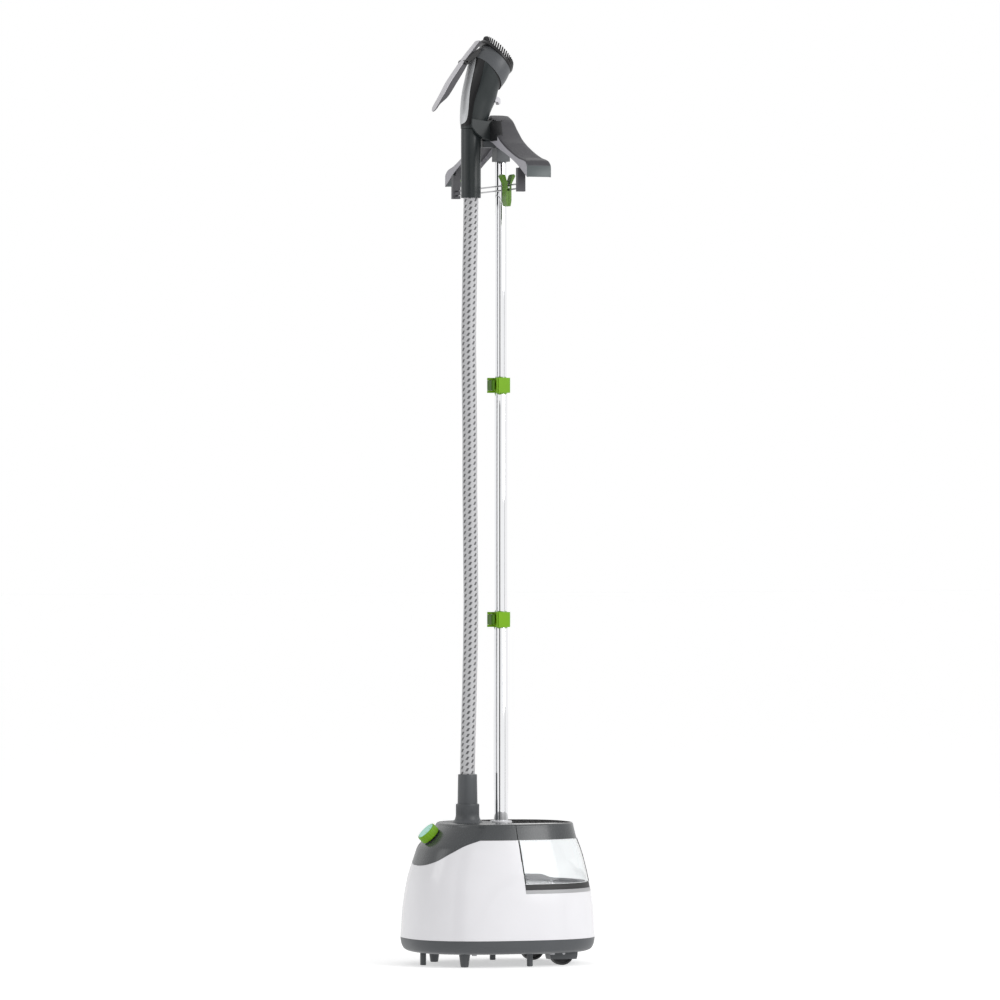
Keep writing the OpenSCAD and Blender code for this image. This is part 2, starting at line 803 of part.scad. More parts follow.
// Side view of the crease lever: its outer face down to the tip, and its inner face back up.
lever_outline = [[11, 1533], [-5.8, 1513.7], [-16.4, 1500], [-27, 1487], [-41.2, 1467],
    [-52, 1447], [-62, 1427], [-67.6, 1414], [-65.8, 1413], [-58.5, 1425], [-47.2, 1438.5],
    [-33.4, 1462], [-23, 1478], [-11.5, 1494], [-3.4, 1506.5], [8.5, 1526.5]];

module crease_lever() {
    color([0.8, 0.8, 0.82]) difference() {
        union() {
            side_plate(lever_outline, lever_width / 2);
            at_pin(crease_pivot) cylinder(r = 4.2, h = lever_width, center = true, $fn = 32);
        }
        at_pin(crease_pivot) cylinder(r = pin_r + running, h = 40, center = true, $fn = 32);
    }
}

module crease_pin() {
    color(metal) at_pin(crease_pivot) cylinder(r = pin_r, h = 32.6, center = true, $fn = 32);
}

module trigger() {
    color(metal) {
        side_plate([[33, 1438], [37, 1440], [46, 1439.5], [49.5, 1436], [50, 1429], [47.5, 1426.5],
                    [45.5, 1431], [40, 1431.5], [34, 1432.5]], 7);
        at_pin(trigger_pin) cylinder(r = 1.5, h = 20, center = true, $fn = 32);
    }
}

// --- Hose -----------------------------------------------------------------------------------

// Route of the hose from the collar to the handset: distance from the base's centre, height.
hose_route = [[-53, 266], [-53, 320], [-52, 370], [-50, 440], [-48, 520], [-47, 600],
    [-48, 700], [-49, 790], [-49, 870], [-50, 950], [-51, 1036], [-50, 1100], [-49, 1160],
    [-48, 1210], [-47, 1262], [-47, 1330]];
hose_ring_gap = 30;

// Points on a straight stretch between two route points, the last one left out.
function stretch(a, b) =
    let (n = max(1, ceil(norm(b - a) / hose_ring_gap)))
    [for (i = [0 : n - 1]) a + (b - a) * i / n];

function unit(v) = v / norm(v);

// The direction of a line of points at one of them.
function along(p, i) = unit(p[min(i + 1, len(p) - 1)] - p[max(i - 1, 0)]);

// A ring of points round a place on a line, square to it.
function ring_at(p, i, r, sides) =
    let (d = along(p, i), u = unit(cross(d, abs(d[0]) < 0.7 ? [1, 0, 0] : [0, 1, 0])),
         v = cross(d, u))
    [for (k = [0 : sides - 1]) p[i] + r * (cos(360 * k / sides) * u + sin(360 * k / sides) * v)];

module sweep(p, r, sides) {
    loft([for (i = [0 : len(p) - 1]) ring_at(p, i, r, sides)]);
}

module hose() {
    line = [for (q = hose_route) [0, q[0], q[1]]];
    points = concat([for (i = [0 : len(line) - 2]) each stretch(line[i], line[i + 1])],
                    [line[len(line) - 1]]);
    color([0.75, 0.76, 0.77]) sweep(points, hose_d / 2, 12);
}

module collar_ring() {
    color(grey) translate([0, hose_y, deck_top]) rotate_extrude($fn = round_n)
        polygon([[12.8, 0], [26.5, 0], [23.5, 2.5], [21, 6], [19.5, 11], [19.5, 31], [12.8, 31]]);
}

module hose_sleeve() {
    color(grey) translate([0, hose_y, deck_top]) rotate_extrude($fn = round_n)
        polygon([[12.8, 31], [16.6, 31], [15.8, 80], [12.8, 80]]);
}

base_tray();
body_shell();
deck_cover();
feet();
left_wheel();
right_wheel();
wheel_axles();
tray_screws();
tank_bay();
boiler_lower();
boiler_upper();
boiler_gasket();
boiler_screws();
heating_element();
thermostat();
steam_pipe();
feed_pipe();
valve_receiver();
dial_switch();
pole_socket();
dial_knob();
dial_face();
collar_ring();
hose_sleeve();
tank_base();
tank_shell();
tank_cover();
valve_plunger();
valve_spring();
pole_lower();
pole_middle();
pole_upper();
lower_clamp();
upper_clamp();
lower_lever();
upper_lever();
lower_lever_pin();
upper_lever_pin();
hanger_shell();
hanger_socket();
cradle_fork();
trouser_rail();
hanger_posts();
left_clip_front();
left_clip_rear();
left_clip_pin();
right_clip_front();
right_clip_rear();
right_clip_pin();
handle_shell();
handle_panel();
handset_sleeve();
steam_tube();
head_shell();
steam_plate();
comb_frame();
crease_lever();
crease_pin();
trigger();
hose();
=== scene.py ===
"""An upright garment steamer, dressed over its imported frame.

The frame gives the bodies, the joints and the inner parts. This script adds the
finished surfaces, and a few trims of its own: a moulded casing with a clear tank,
a chrome telescopic pole, a hanger with green clips, a steam handset and a braided
hose. Lengths are in metres, or in millimetres that MM turns into metres.
"""

from __future__ import annotations

import json
import logging
import math
from dataclasses import dataclass, field
from enum import Enum
from typing import Callable, Sequence

import bmesh
import bpy
import numpy as np
from mathutils import Matrix, Vector

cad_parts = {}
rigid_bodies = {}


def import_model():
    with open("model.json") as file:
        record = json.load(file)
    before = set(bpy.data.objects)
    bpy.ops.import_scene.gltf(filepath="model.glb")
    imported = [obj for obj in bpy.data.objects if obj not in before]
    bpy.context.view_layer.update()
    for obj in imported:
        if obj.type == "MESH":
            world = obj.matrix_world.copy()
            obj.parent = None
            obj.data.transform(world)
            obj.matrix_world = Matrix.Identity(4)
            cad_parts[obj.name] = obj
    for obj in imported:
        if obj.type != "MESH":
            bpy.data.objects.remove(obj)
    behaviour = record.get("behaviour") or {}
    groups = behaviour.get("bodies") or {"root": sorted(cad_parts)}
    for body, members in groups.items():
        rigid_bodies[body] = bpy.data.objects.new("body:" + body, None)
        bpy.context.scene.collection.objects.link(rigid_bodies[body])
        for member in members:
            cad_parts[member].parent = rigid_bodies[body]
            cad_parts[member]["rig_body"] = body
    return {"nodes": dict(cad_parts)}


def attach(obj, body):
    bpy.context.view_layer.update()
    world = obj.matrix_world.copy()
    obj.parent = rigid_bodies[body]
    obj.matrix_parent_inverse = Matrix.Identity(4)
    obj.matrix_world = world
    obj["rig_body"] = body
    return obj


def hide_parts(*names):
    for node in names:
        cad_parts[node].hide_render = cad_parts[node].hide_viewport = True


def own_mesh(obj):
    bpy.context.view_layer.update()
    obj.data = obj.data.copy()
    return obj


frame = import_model()
LOG = logging.getLogger("steamer")
MM = 0.001
QUARTER_TURN = math.radians(90)
CORNER_DIRECTION = (0.342, 0.94)
COMB_INNER = -4.4
FACE_OVAL = -4.5

Point = tuple[float, float, float]
Pair = tuple[float, float]
Node = bpy.types.Node


class Body(Enum):
    """The moving bodies that a visible piece can ride on."""

    BASE = "base"
    DIAL = "dial"
    TANK = "tank"
    MIDDLE = "middle_stage"
    TOP = "top_stage"
    HANDSET = "handset"
    LEVER = "crease_lever"


class Slot(Enum):
    """The record's material slots."""

    GREY = "grey_plastic"
    DECK = "deck_plastic"
    HANDLE = "handle_plastic"
    WHITE = "white_plastic"
    CLEAR = "clear_plastic"
    GREEN = "green_plastic"
    CLIP = "clip_green"
    MINT = "mint_plastic"
    SILVER = "silver_paint"
    CHROME = "chrome"
    STEEL = "steel"
    ALUMINIUM = "aluminium"
    BLACK = "black_plastic"
    RUBBER = "seal_rubber"
    SILICONE = "silicone"
    BRAID = "braid"


# --- Shared shader effects --------------------------------------------------------------


def new_group(name: str, inputs: dict[str, float], outputs: dict[str, str]) -> bpy.types.NodeTree:
    """Makes an empty shader group.

    Args:
        name: The group's name.
        inputs: Float inputs and their defaults.
        outputs: Output names and their socket types.

    Returns:
        The group, with its input and output nodes named "in" and "out".
    """
    group = bpy.data.node_groups.new(name, "ShaderNodeTree")
    for title, default in inputs.items():
        socket = group.interface.new_socket(title, in_out="INPUT", socket_type="NodeSocketFloat")
        socket.default_value = default
    for title, kind in outputs.items():
        group.interface.new_socket(title, in_out="OUTPUT", socket_type=kind)
    group.nodes.new("NodeGroupInput").name = "in"
    group.nodes.new("NodeGroupOutput").name = "out"
    return group


def math_node(tree: bpy.types.NodeTree, operation: str, *values: object) -> bpy.types.NodeSocket:
    """Adds a Math node.

    Args:
        tree: The tree to add it to.
        operation: The node's operation.
        values: Numbers, or output sockets to link.

    Returns:
        The node's output socket.
    """
    node = tree.nodes.new("ShaderNodeMath")
    node.operation = operation
    for index, value in enumerate(values):
        if isinstance(value, bpy.types.NodeSocket):
            tree.links.new(value, node.inputs[index])
        else:
            node.inputs[index].default_value = value
    return node.outputs[0]


def spread(tree: bpy.types.NodeTree, value: bpy.types.NodeSocket, low: float, high: float,
           new_low: object = 0.0, new_high: object = 1.0) -> bpy.types.NodeSocket:
    """Maps a value smoothly from one range to another.

    Args:
        tree: The tree to add the node to.
        value: The socket to map.
        low: Start of the old range.
        high: End of the old range.
        new_low: Start of the new range, a number or a socket.
        new_high: End of the new range, a number or a socket.

    Returns:
        The mapped value's socket.
    """
    node = tree.nodes.new("ShaderNodeMapRange")
    node.interpolation_type = "SMOOTHSTEP"
    tree.links.new(value, node.inputs["Value"])
    node.inputs["From Min"].default_value, node.inputs["From Max"].default_value = low, high
    for title, new in (("To Min", new_low), ("To Max", new_high)):
        if isinstance(new, bpy.types.NodeSocket):
            tree.links.new(new, node.inputs[title])
        else:
            node.inputs[title].default_value = new
    return node.outputs["Result"]


def noise(tree: bpy.types.NodeTree, scale: object, detail: float = 3.0,
          stretch: Point = (1.0, 1.0, 1.0)) -> bpy.types.NodeSocket:
    """Adds object-space noise.

    Args:
        tree: The tree to add it to.
        scale: Cells per metre, a number or a socket.
        detail: Octaves of detail.
        stretch: How far the noise is squeezed along each axis.

    Returns:
        The noise value's socket.
    """
    place = tree.nodes.new("ShaderNodeTexCoord")
    mapping = tree.nodes.new("ShaderNodeMapping")
    mapping.inputs["Scale"].default_value = stretch
    tree.links.new(place.outputs["Object"], mapping.inputs["Vector"])
    texture = tree.nodes.new("ShaderNodeTexNoise")
    texture.inputs["Detail"].default_value = detail
    tree.links.new(mapping.outputs[0], texture.inputs["Vector"])
    if isinstance(scale, bpy.types.NodeSocket):
        tree.links.new(scale, texture.inputs["Scale"])
    else:
        texture.inputs["Scale"].default_value = scale
    return texture.outputs["Fac"]


def tone_group() -> bpy.types.NodeTree:
    """Slow unevenness of a moulding: a darkening mask and a roughness."""
    group = new_group("moulded_tone", {"Roughness": 0.3, "Spread": 0.05, "Scale": 9.0},
                      {"Mask": "NodeSocketFloat", "Roughness": "NodeSocketFloat"})
    given, out = group.nodes["in"], group.nodes["out"]
    slow = noise(group, given.outputs["Scale"])
    fine = noise(group, 260.0, 4.0, (1.0, 1.0, 0.35))
    group.links.new(spread(group, slow, 0.35, 0.7), out.inputs["Mask"])
    smear = math_node(group, "MULTIPLY", spread(group, fine, 0.45, 0.75), given.outputs["Spread"])
    blotch = math_node(group, "MULTIPLY", slow, given.outputs["Spread"])
    total = math_node(group, "ADD", math_node(group, "ADD", smear, blotch), given.outputs["Roughness"])
    group.links.new(total, out.inputs["Roughness"])
    return group


def grain_group() -> bpy.types.NodeTree:
    """Fine height of a spark-eroded or brushed surface."""
    group = new_group("fine_grain", {"Scale": 1500.0, "Weight": 1.0}, {"Height": "NodeSocketFloat"})
    given, out = group.nodes["in"], group.nodes["out"]
    fine = noise(group, given.outputs["Scale"], 2.0)
    group.links.new(math_node(group, "MULTIPLY", fine, given.outputs["Weight"]), out.inputs["Height"])
    return group


def wear_group() -> bpy.types.NodeTree:
    """A mask of light scuffs: thin broken streaks."""
    group = new_group("light_scuffs", {"Amount": 0.5}, {"Mask": "NodeSocketFloat"})
    given, out = group.nodes["in"], group.nodes["out"]
    streak = spread(group, noise(group, 120.0, 5.0, (1.0, 0.25, 3.0)), 0.62, 0.72)
    patch = spread(group, noise(group, 14.0, 2.0), 0.5, 0.62)
    both = math_node(group, "MULTIPLY", streak, patch)
    group.links.new(math_node(group, "MULTIPLY", both, given.outputs["Amount"]), out.inputs["Mask"])
    return group


# --- Finishes ---------------------------------------------------------------------------


@dataclass(frozen=True)
class Finish:
    """A plain finish: moulded plastic, rubber, paint or metal.

    Attributes:
        name: The material's name.
        color: Base colour, linear.
        roughness: Mean roughness.
        slot: The record's slot.
        metallic: Metallic share.
        shade: Colour where the tone mask is full, as a share of color.
        uneven: How far roughness wanders.
        grain: Depth of the fine bump.
        grain_scale: Grain cells per metre.
        coat: Weight of a clear coat.
        transmission: Share of light let through.
        specular: Strength of the plain reflection.
        ior: Index of refraction.
        scuffs: How strong the scuffs are.
    """

    name: str
    color: Point
    roughness: float
    slot: Slot
    metallic: float = 0.0
    shade: float = 0.9
    uneven: float = 0.05
    grain: float = 0.00002
    grain_scale: float = 1500.0
    coat: float = 0.0
    transmission: float = 0.0
    specular: float = 0.5
    ior: float = 1.48
    scuffs: float = 0.3

    def build(self, groups: dict[str, bpy.types.NodeTree]) -> bpy.types.Material:
        """Builds the material.

        Args:
            groups: The shared effects by name.

        Returns:
            The finished material.
        """
        material = bpy.data.materials.new(self.name)
        material.use_nodes = True
        tree = material.node_tree
        shader = tree.nodes["Principled BSDF"]
        shader.inputs["Metallic"].default_value = self.metallic
        shader.inputs["Coat Weight"].default_value = self.coat
        shader.inputs["Coat Roughness"].default_value = 0.06
        shader.inputs["Transmission Weight"].default_value = self.transmission
        shader.inputs["Specular IOR Level"].default_value = self.specular
        shader.inputs["IOR"].default_value = self.ior
        tone = self.place(tree, groups["tone"], Roughness=self.roughness, Spread=self.uneven)
        scuff = self.place(tree, groups["wear"], Amount=self.scuffs)
        mix = tree.nodes.new("ShaderNodeMix")
        mix.data_type = "RGBA"
        mix.inputs["A"].default_value = (*self.color, 1.0)
        mix.inputs["B"].default_value = (*(c * self.shade for c in self.color), 1.0)
        tree.links.new(tone.outputs["Mask"], mix.inputs["Factor"])
        tree.links.new(mix.outputs["Result"], shader.inputs["Base Color"])
        rough = math_node(tree, "ADD", tone.outputs["Roughness"],
                          math_node(tree, "MULTIPLY", scuff.outputs["Mask"], 0.12))
        tree.links.new(rough, shader.inputs["Roughness"])
        if self.grain:
            grain = self.place(tree, groups["grain"], Scale=self.grain_scale)
            bump = tree.nodes.new("ShaderNodeBump")
            bump.inputs["Strength"].default_value = 0.6
            bump.inputs["Distance"].default_value = self.grain
            tree.links.new(grain.outputs["Height"], bump.inputs["Height"])
            tree.links.new(bump.outputs[0], shader.inputs["Normal"])
        return material

    @staticmethod
    def place(tree: bpy.types.NodeTree, group: bpy.types.NodeTree, **values: float) -> Node:
        """Places a shared effect in a material with its own values."""
        node = tree.nodes.new("ShaderNodeGroup")
        node.node_tree = group
        for title, value in values.items():
            node.inputs[title].default_value = value
        return node


@dataclass(frozen=True)
class BraidFinish:
    """The hose's woven cover: pale yarn with slanted grey dashes in lengthwise columns."""

    name: str = "hose_braid"
    slot: Slot = Slot.BRAID
    pale: Point = (0.56, 0.56, 0.575)
    dash: Point = (0.075, 0.076, 0.08)
    columns: int = 8
    pitch: float = 9.5 * MM
    slant: float = 0.55
    stagger: float = 0.36

    def build(self, groups: dict[str, bpy.types.NodeTree]) -> bpy.types.Material:
        """Builds the braid from the hose's own lengthwise and round-about coordinates."""
        material = bpy.data.materials.new(self.name)
        material.use_nodes = True
        tree = material.node_tree
        shader = tree.nodes["Principled BSDF"]
        place = tree.nodes.new("ShaderNodeUVMap")
        place.uv_map = "UVMap"
        split = tree.nodes.new("ShaderNodeSeparateXYZ")
        tree.links.new(place.outputs[0], split.inputs[0])
        column = math_node(tree, "MULTIPLY", split.outputs["X"], float(self.columns))
        row = math_node(tree, "DIVIDE", split.outputs["Y"], self.pitch / 0.1)
        row = math_node(tree, "ADD", row, math_node(tree, "MULTIPLY",
                        math_node(tree, "FLOOR", column), self.stagger))
        across = math_node(tree, "SUBTRACT", math_node(tree, "FRACT", column), 0.5)
        along = math_node(tree, "SUBTRACT", math_node(tree, "FRACT", row), 0.5)
        lean = math_node(tree, "SUBTRACT", across, math_node(tree, "MULTIPLY", along, self.slant))
        mask = math_node(
            tree, "MULTIPLY",
            spread(tree, math_node(tree, "ABSOLUTE", lean), 0.24, 0.17),
            spread(tree, math_node(tree, "ABSOLUTE", along), 0.33, 0.25))
        weave = self.weave(tree, split)
        yarn = math_node(tree, "MULTIPLY", mask, spread(tree, noise(tree, 900.0), 0.2, 0.6, 0.75, 1.0))
        mix = tree.nodes.new("ShaderNodeMix")
        mix.data_type = "RGBA"
        mix.inputs["A"].default_value = (*self.pale, 1.0)
        mix.inputs["B"].default_value = (*self.dash, 1.0)
        tree.links.new(yarn, mix.inputs["Factor"])
        # Painted shade: the colour is darkened in the weave's hollows and lifted a little on its
        # crests, by the same height that drives the bump.
        weave_painted_shade = tree.nodes.new("ShaderNodeMix")
        weave_painted_shade.data_type = "RGBA"
        weave_painted_shade.blend_type = "MULTIPLY"
        weave_painted_shade.inputs["Factor"].default_value = 1.0
        tree.links.new(mix.outputs["Result"], weave_painted_shade.inputs["A"])
        shade = tree.nodes.new("ShaderNodeCombineColor")
        level = spread(tree, weave, 0.0, 1.0, 0.72, 1.04)
        for index in range(3):
            tree.links.new(level, shade.inputs[index])
        tree.links.new(shade.outputs[0], weave_painted_shade.inputs["B"])
        tree.links.new(weave_painted_shade.outputs["Result"], shader.inputs["Base Color"])
        tone = Finish.place(tree, groups["tone"], Roughness=0.55, Spread=0.15)
        tree.links.new(tone.outputs["Roughness"], shader.inputs["Roughness"])
        shader.inputs["Sheen Weight"].default_value = 0.25
        bump = tree.nodes.new("ShaderNodeBump")
        bump.inputs["Strength"].default_value = 0.8
        bump.inputs["Distance"].default_value = 0.25 * MM
        tree.links.new(weave, bump.inputs["Height"])
        tree.links.new(bump.outputs[0], shader.inputs["Normal"])
        return material

    @staticmethod
    def weave(tree: bpy.types.NodeTree, split: Node) -> bpy.types.NodeSocket:
        """Height of the crossing yarns, about 0.8 mm apart."""
        around = math_node(tree, "MULTIPLY", split.outputs["X"], 2 * math.pi * 40)
        along = math_node(tree, "MULTIPLY", split.outputs["Y"], 2 * math.pi * 50)
        one = math_node(tree, "SINE", math_node(tree, "ADD", around, along))
        two = math_node(tree, "SINE", math_node(tree, "SUBTRACT", around, along))
        both = math_node(tree, "MULTIPLY", one, two)
        return spread(tree, both, -1.0, 1.0)


class Finishes:
    """Every finish of the steamer, built once."""

    PLAIN: tuple[Finish, ...] = (
        Finish("white_moulding", (0.75, 0.745, 0.77), 0.22, Slot.WHITE, shade=0.97, coat=0.3,
               grain=0.00001, scuffs=0.15, uneven=0.03),
        Finish("grey_moulding", (0.080, 0.085, 0.091), 0.36, Slot.GREY, specular=0.4),
        Finish("deck_moulding", (0.050, 0.054, 0.057), 0.26, Slot.DECK, coat=0.05, grain=0.0,
               uneven=0.02),
        # Glossier than the deck, and painted near-black as shade for the lid's top faces.
        Finish("gloss_lid", (0.008, 0.008, 0.009), 0.05, Slot.DECK, coat=0.3, grain=0.0),
        Finish("hanger_moulding", (0.058, 0.057, 0.064), 0.42, Slot.GREY, specular=0.4),
        # Painted light: a lighter copy of the hanger's grey for the arch's end faces, lighter than the
        # crown.
        Finish("hanger_end_painted_light", (0.10, 0.115, 0.118), 0.4, Slot.GREY, specular=0.4),
        # Painted light: a much lighter copy of the hanger's grey for its front and rear walls, lit
        # beside the darker crown.
        Finish("hanger_wall_painted_light", (0.34, 0.335, 0.365), 0.4, Slot.GREY, specular=0.4),
        Finish("ledge_moulding", (0.36, 0.36, 0.37), 0.3, Slot.GREY),
        Finish("grip_moulding", (0.019, 0.024, 0.025), 0.34, Slot.HANDLE, uneven=0.02,
               specular=0.4),
        Finish("strip_moulding", (0.012, 0.012, 0.013), 0.3, Slot.HANDLE, specular=0.3,
               uneven=0.02),
        Finish("silver_paint", (0.52, 0.53, 0.54), 0.38, Slot.SILVER, metallic=0.35, grain=0.0,
               uneven=0.02),
        Finish("lever_face", (0.56, 0.55, 0.58), 0.38, Slot.SILVER, metallic=0.15),
        Finish("lime_moulding", (0.170, 0.385, 0.003), 0.3, Slot.GREEN, specular=0.3),
        # Painted shade: a darker copy of the lime for the clamp levers, whose faces turn away from the
        # light.
        Finish("lever_lime_painted_shade", (0.055, 0.15, 0.004), 0.45, Slot.GREEN, specular=0.2),
        Finish("clip_moulding", (0.085, 0.21, 0.002), 0.22, Slot.CLIP, coat=0.1,
               transmission=0.15),
        Finish("mint_face", (0.42, 0.86, 0.72), 0.3, Slot.MINT, shade=0.96),
        Finish("polished_chrome", (0.88, 0.885, 0.9), 0.045, Slot.CHROME, metallic=1.0, shade=0.98,
               uneven=0.02, grain=0.0, scuffs=0.2),
        Finish("rail_chrome", (0.42, 0.42, 0.43), 0.12, Slot.CHROME, metallic=1.0, grain=0.0),
        Finish("brushed_steel", (0.42, 0.425, 0.44), 0.3, Slot.STEEL, metallic=1.0,
               grain=0.00003, grain_scale=700.0),
        Finish("cast_aluminium", (0.55, 0.56, 0.58), 0.45, Slot.ALUMINIUM, metallic=1.0,
               grain=0.0001, grain_scale=400.0),
        Finish("clear_tank", (0.95, 0.965, 0.97), 0.03, Slot.CLEAR, transmission=1.0, ior=1.25,
               uneven=0.015, grain=0.0, scuffs=0.1, shade=0.99),
        Finish("black_moulding", (0.014, 0.014, 0.015), 0.5, Slot.BLACK, grain=0.00005),
        Finish("tyre_rubber", (0.016, 0.016, 0.017), 0.65, Slot.BLACK, grain=0.0001,
               grain_scale=900.0),
        Finish("seal_rubber", (0.012, 0.012, 0.012), 0.6, Slot.RUBBER, specular=0.2),
        Finish("silicone_tube", (0.5, 0.2, 0.11), 0.5, Slot.SILICONE),
    )

    def __init__(self) -> None:
        """Builds the shared effects and each finish's material."""
        groups = {"tone": tone_group(), "grain": grain_group(), "wear": wear_group()}
        kinds = [*self.PLAIN, BraidFinish()]
        self.slots: dict[str, Slot] = {kind.name: kind.slot for kind in kinds}
        self.materials: dict[str, bpy.types.Material] = {
            kind.name: kind.build(groups) for kind in kinds}

    def dress(self, piece: bpy.types.Object, *names: str) -> None:
        """Gives a piece its materials, the first one being its main finish."""
        piece.data.materials.clear()
        for name in names:
            piece.data.materials.append(self.materials[name])


# --- Mesh making ------------------------------------------------------------------------


def add_object(name: str, mesh: bpy.types.Mesh) -> bpy.types.Object:
    """Puts a mesh into the scene as a new object."""
    piece = bpy.data.objects.new(name, mesh)
    bpy.context.scene.collection.objects.link(piece)
    return piece


def from_faces(name: str, points: Sequence[Sequence[float]],
               faces: Sequence[Sequence[int]]) -> bpy.types.Object:
    """Makes an object from points and faces, with its normals facing out."""
    mesh = bpy.data.meshes.new(name)
    mesh.from_pydata([tuple(p) for p in points], [], [tuple(f) for f in faces])
    work = bmesh.new()
    work.from_mesh(mesh)
    bmesh.ops.recalc_face_normals(work, faces=work.faces)
    work.to_mesh(mesh)
    work.free()
    return add_object(name, mesh)


def loft(name: str, rings: Sequence[Sequence[Sequence[float]]]) -> bpy.types.Object:
    """Skins rings of equal length, and closes the first and the last.

    Args:
        name: The object's name.
        rings: The rings in order.

    Returns:
        The skinned object.
    """
    count = len(rings[0])
    points = [p for ring in rings for p in ring]
    faces: list[list[int]] = []
    for row in range(len(rings) - 1):
        for i in range(count):
            a, b = row * count + i, row * count + (i + 1) % count
            faces.append([a, b, b + count, a + count])
    faces.append(list(range(count)))
    faces.append(list(range(len(points) - count, len(points))))
    return from_faces(name, points, faces)


def scaled(points: Sequence[Pair]) -> list[Pair]:
    """The same points, from millimetres to metres."""
    return [(a * MM, b * MM) for a, b in points]


def side_prism(name: str, outline: Sequence[Pair], low: float, high: float) -> bpy.types.Object:
    """A solid with its outline in the side view (Y, Z), from one X to another."""
    return loft(name, [[(x, y, z) for y, z in outline] for x in (low, high)])


def front_prism(name: str, outline: Sequence[Pair], low: float, high: float) -> bpy.types.Object:
    """A solid with its outline in the front view (X, Z), from one Y to another."""
    return loft(name, [[(x, y, z) for x, z in outline] for y in (low, high)])


def box_between(name: str, low: Point, high: Point) -> bpy.types.Object:
    """A cutting box between two corners."""
    return side_prism(name, [(low[1], low[2]), (high[1], low[2]), (high[1], high[2]),
                             (low[1], high[2])], low[0], high[0])


def settle(piece: bpy.types.Object) -> bpy.types.Object:
    """Applies a piece's modifiers to its mesh."""
    bpy.context.view_layer.update()
    graph = bpy.context.evaluated_depsgraph_get()
    mesh = bpy.data.meshes.new_from_object(piece.evaluated_get(graph))
    piece.modifiers.clear()
    piece.data = mesh
    return piece


def discard(*tools: bpy.types.Object) -> None:
    """Removes cutting tools."""
    for tool in tools:
        bpy.data.objects.remove(tool)


def carve(piece: bpy.types.Object, operation: str,
          *tools: bpy.types.Object) -> bpy.types.Object:
    """Cuts a piece with tools, or keeps what they share.

    Args:
        piece: The piece to change.
        operation: DIFFERENCE, INTERSECT or UNION.
        tools: The solids to cut with, which are used up.

    Returns:
        The same piece.
    """
    for tool in tools:
        modifier = piece.modifiers.new("cut", "BOOLEAN")
        modifier.operation, modifier.object, modifier.solver = operation, tool, "EXACT"
        settle(piece)
    discard(*tools)
    return piece


def duplicate(piece: bpy.types.Object, name: str) -> bpy.types.Object:
    """A copy of a piece with its own mesh."""
    return add_object(name, piece.data.copy())


def smooth(piece: bpy.types.Object, angle: float = 32.0) -> bpy.types.Object:
    """Shades a piece smooth, with edges kept where faces meet at more than an angle."""
    for face in piece.data.polygons:
        face.use_smooth = True
    piece.data.set_sharp_from_angle(angle=math.radians(angle))
    return piece


def soften(piece: bpy.types.Object, width: float, segments: int = 2,
           angle: float = 32.0) -> bpy.types.Object:
    """Rounds a piece's edges and shades it.

    Args:
        piece: The piece.
        width: The rounding's width.
        segments: Steps in the rounding.
        angle: Edges sharper than this are rounded.

    Returns:
        The same piece.
    """
    for name in ("custom_normal", "sharp_edge", "sharp_face"):
        if name in piece.data.attributes:
            piece.data.attributes.remove(piece.data.attributes[name])
    work = bmesh.new()
    work.from_mesh(piece.data)
    bmesh.ops.remove_doubles(work, verts=work.verts, dist=0.00002)
    bmesh.ops.dissolve_limit(work, angle_limit=math.radians(0.4), verts=work.verts,
                             edges=work.edges)
    work.to_mesh(piece.data)
    work.free()
    modifier = piece.modifiers.new("round", "BEVEL")
    modifier.width, modifier.segments = width, segments
    modifier.limit_method, modifier.angle_limit = "ANGLE", math.radians(angle)
    modifier.harden_normals = True
    modifier.use_clamp_overlap = True
    normals = piece.modifiers.new("normals", "WEIGHTED_NORMAL")
    normals.keep_sharp = True
    for face in piece.data.polygons:
        face.use_smooth = True
    settle(piece)
    return piece


def refined(node: str, width: float, segments: int = 2) -> bpy.types.Object:
    """A rounded, smooth-shaded piece that stands for an exact CAD node."""
    piece = add_object(f"{node}_finished", frame["nodes"][node].data.copy())
    soften(piece, width, segments)
    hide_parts(node)
    return piece


def joined(name: str, pieces: Sequence[bpy.types.Object]) -> bpy.types.Object:
    """One object of several pieces, whose own objects go away."""
    work = bmesh.new()
    for piece in pieces:
        work.from_mesh(piece.data)
    mesh = bpy.data.meshes.new(name)
    work.to_mesh(mesh)
    work.free()
    discard(*pieces)
    return add_object(name, mesh)


def turned(name: str, profile: Sequence[Pair], steps: int = 96,
           wobble: Callable[[float, float], float] | None = None) -> bpy.types.Object:
    """A body turned about Z.

    Args:
        name: The object's name.
        profile: Radius and height, from the bottom to the top.
        steps: Points round each ring.
        wobble: Extra radius at an angle and a height.

    Returns:
        The turned object.
    """
    rings = []
    for radius, height in profile:
        ring = []
        for i in range(steps):
            angle = 2 * math.pi * i / steps
            r = radius + (wobble(angle, height) if wobble else 0.0)
            ring.append((r * math.cos(angle), r * math.sin(angle), height))
        rings.append(ring)
    return loft(name, rings)


def moved(piece: bpy.types.Object, matrix: Matrix) -> bpy.types.Object:
    """Moves a piece's mesh itself, so that its object stays at the origin."""
    piece.data.transform(matrix)
    return piece


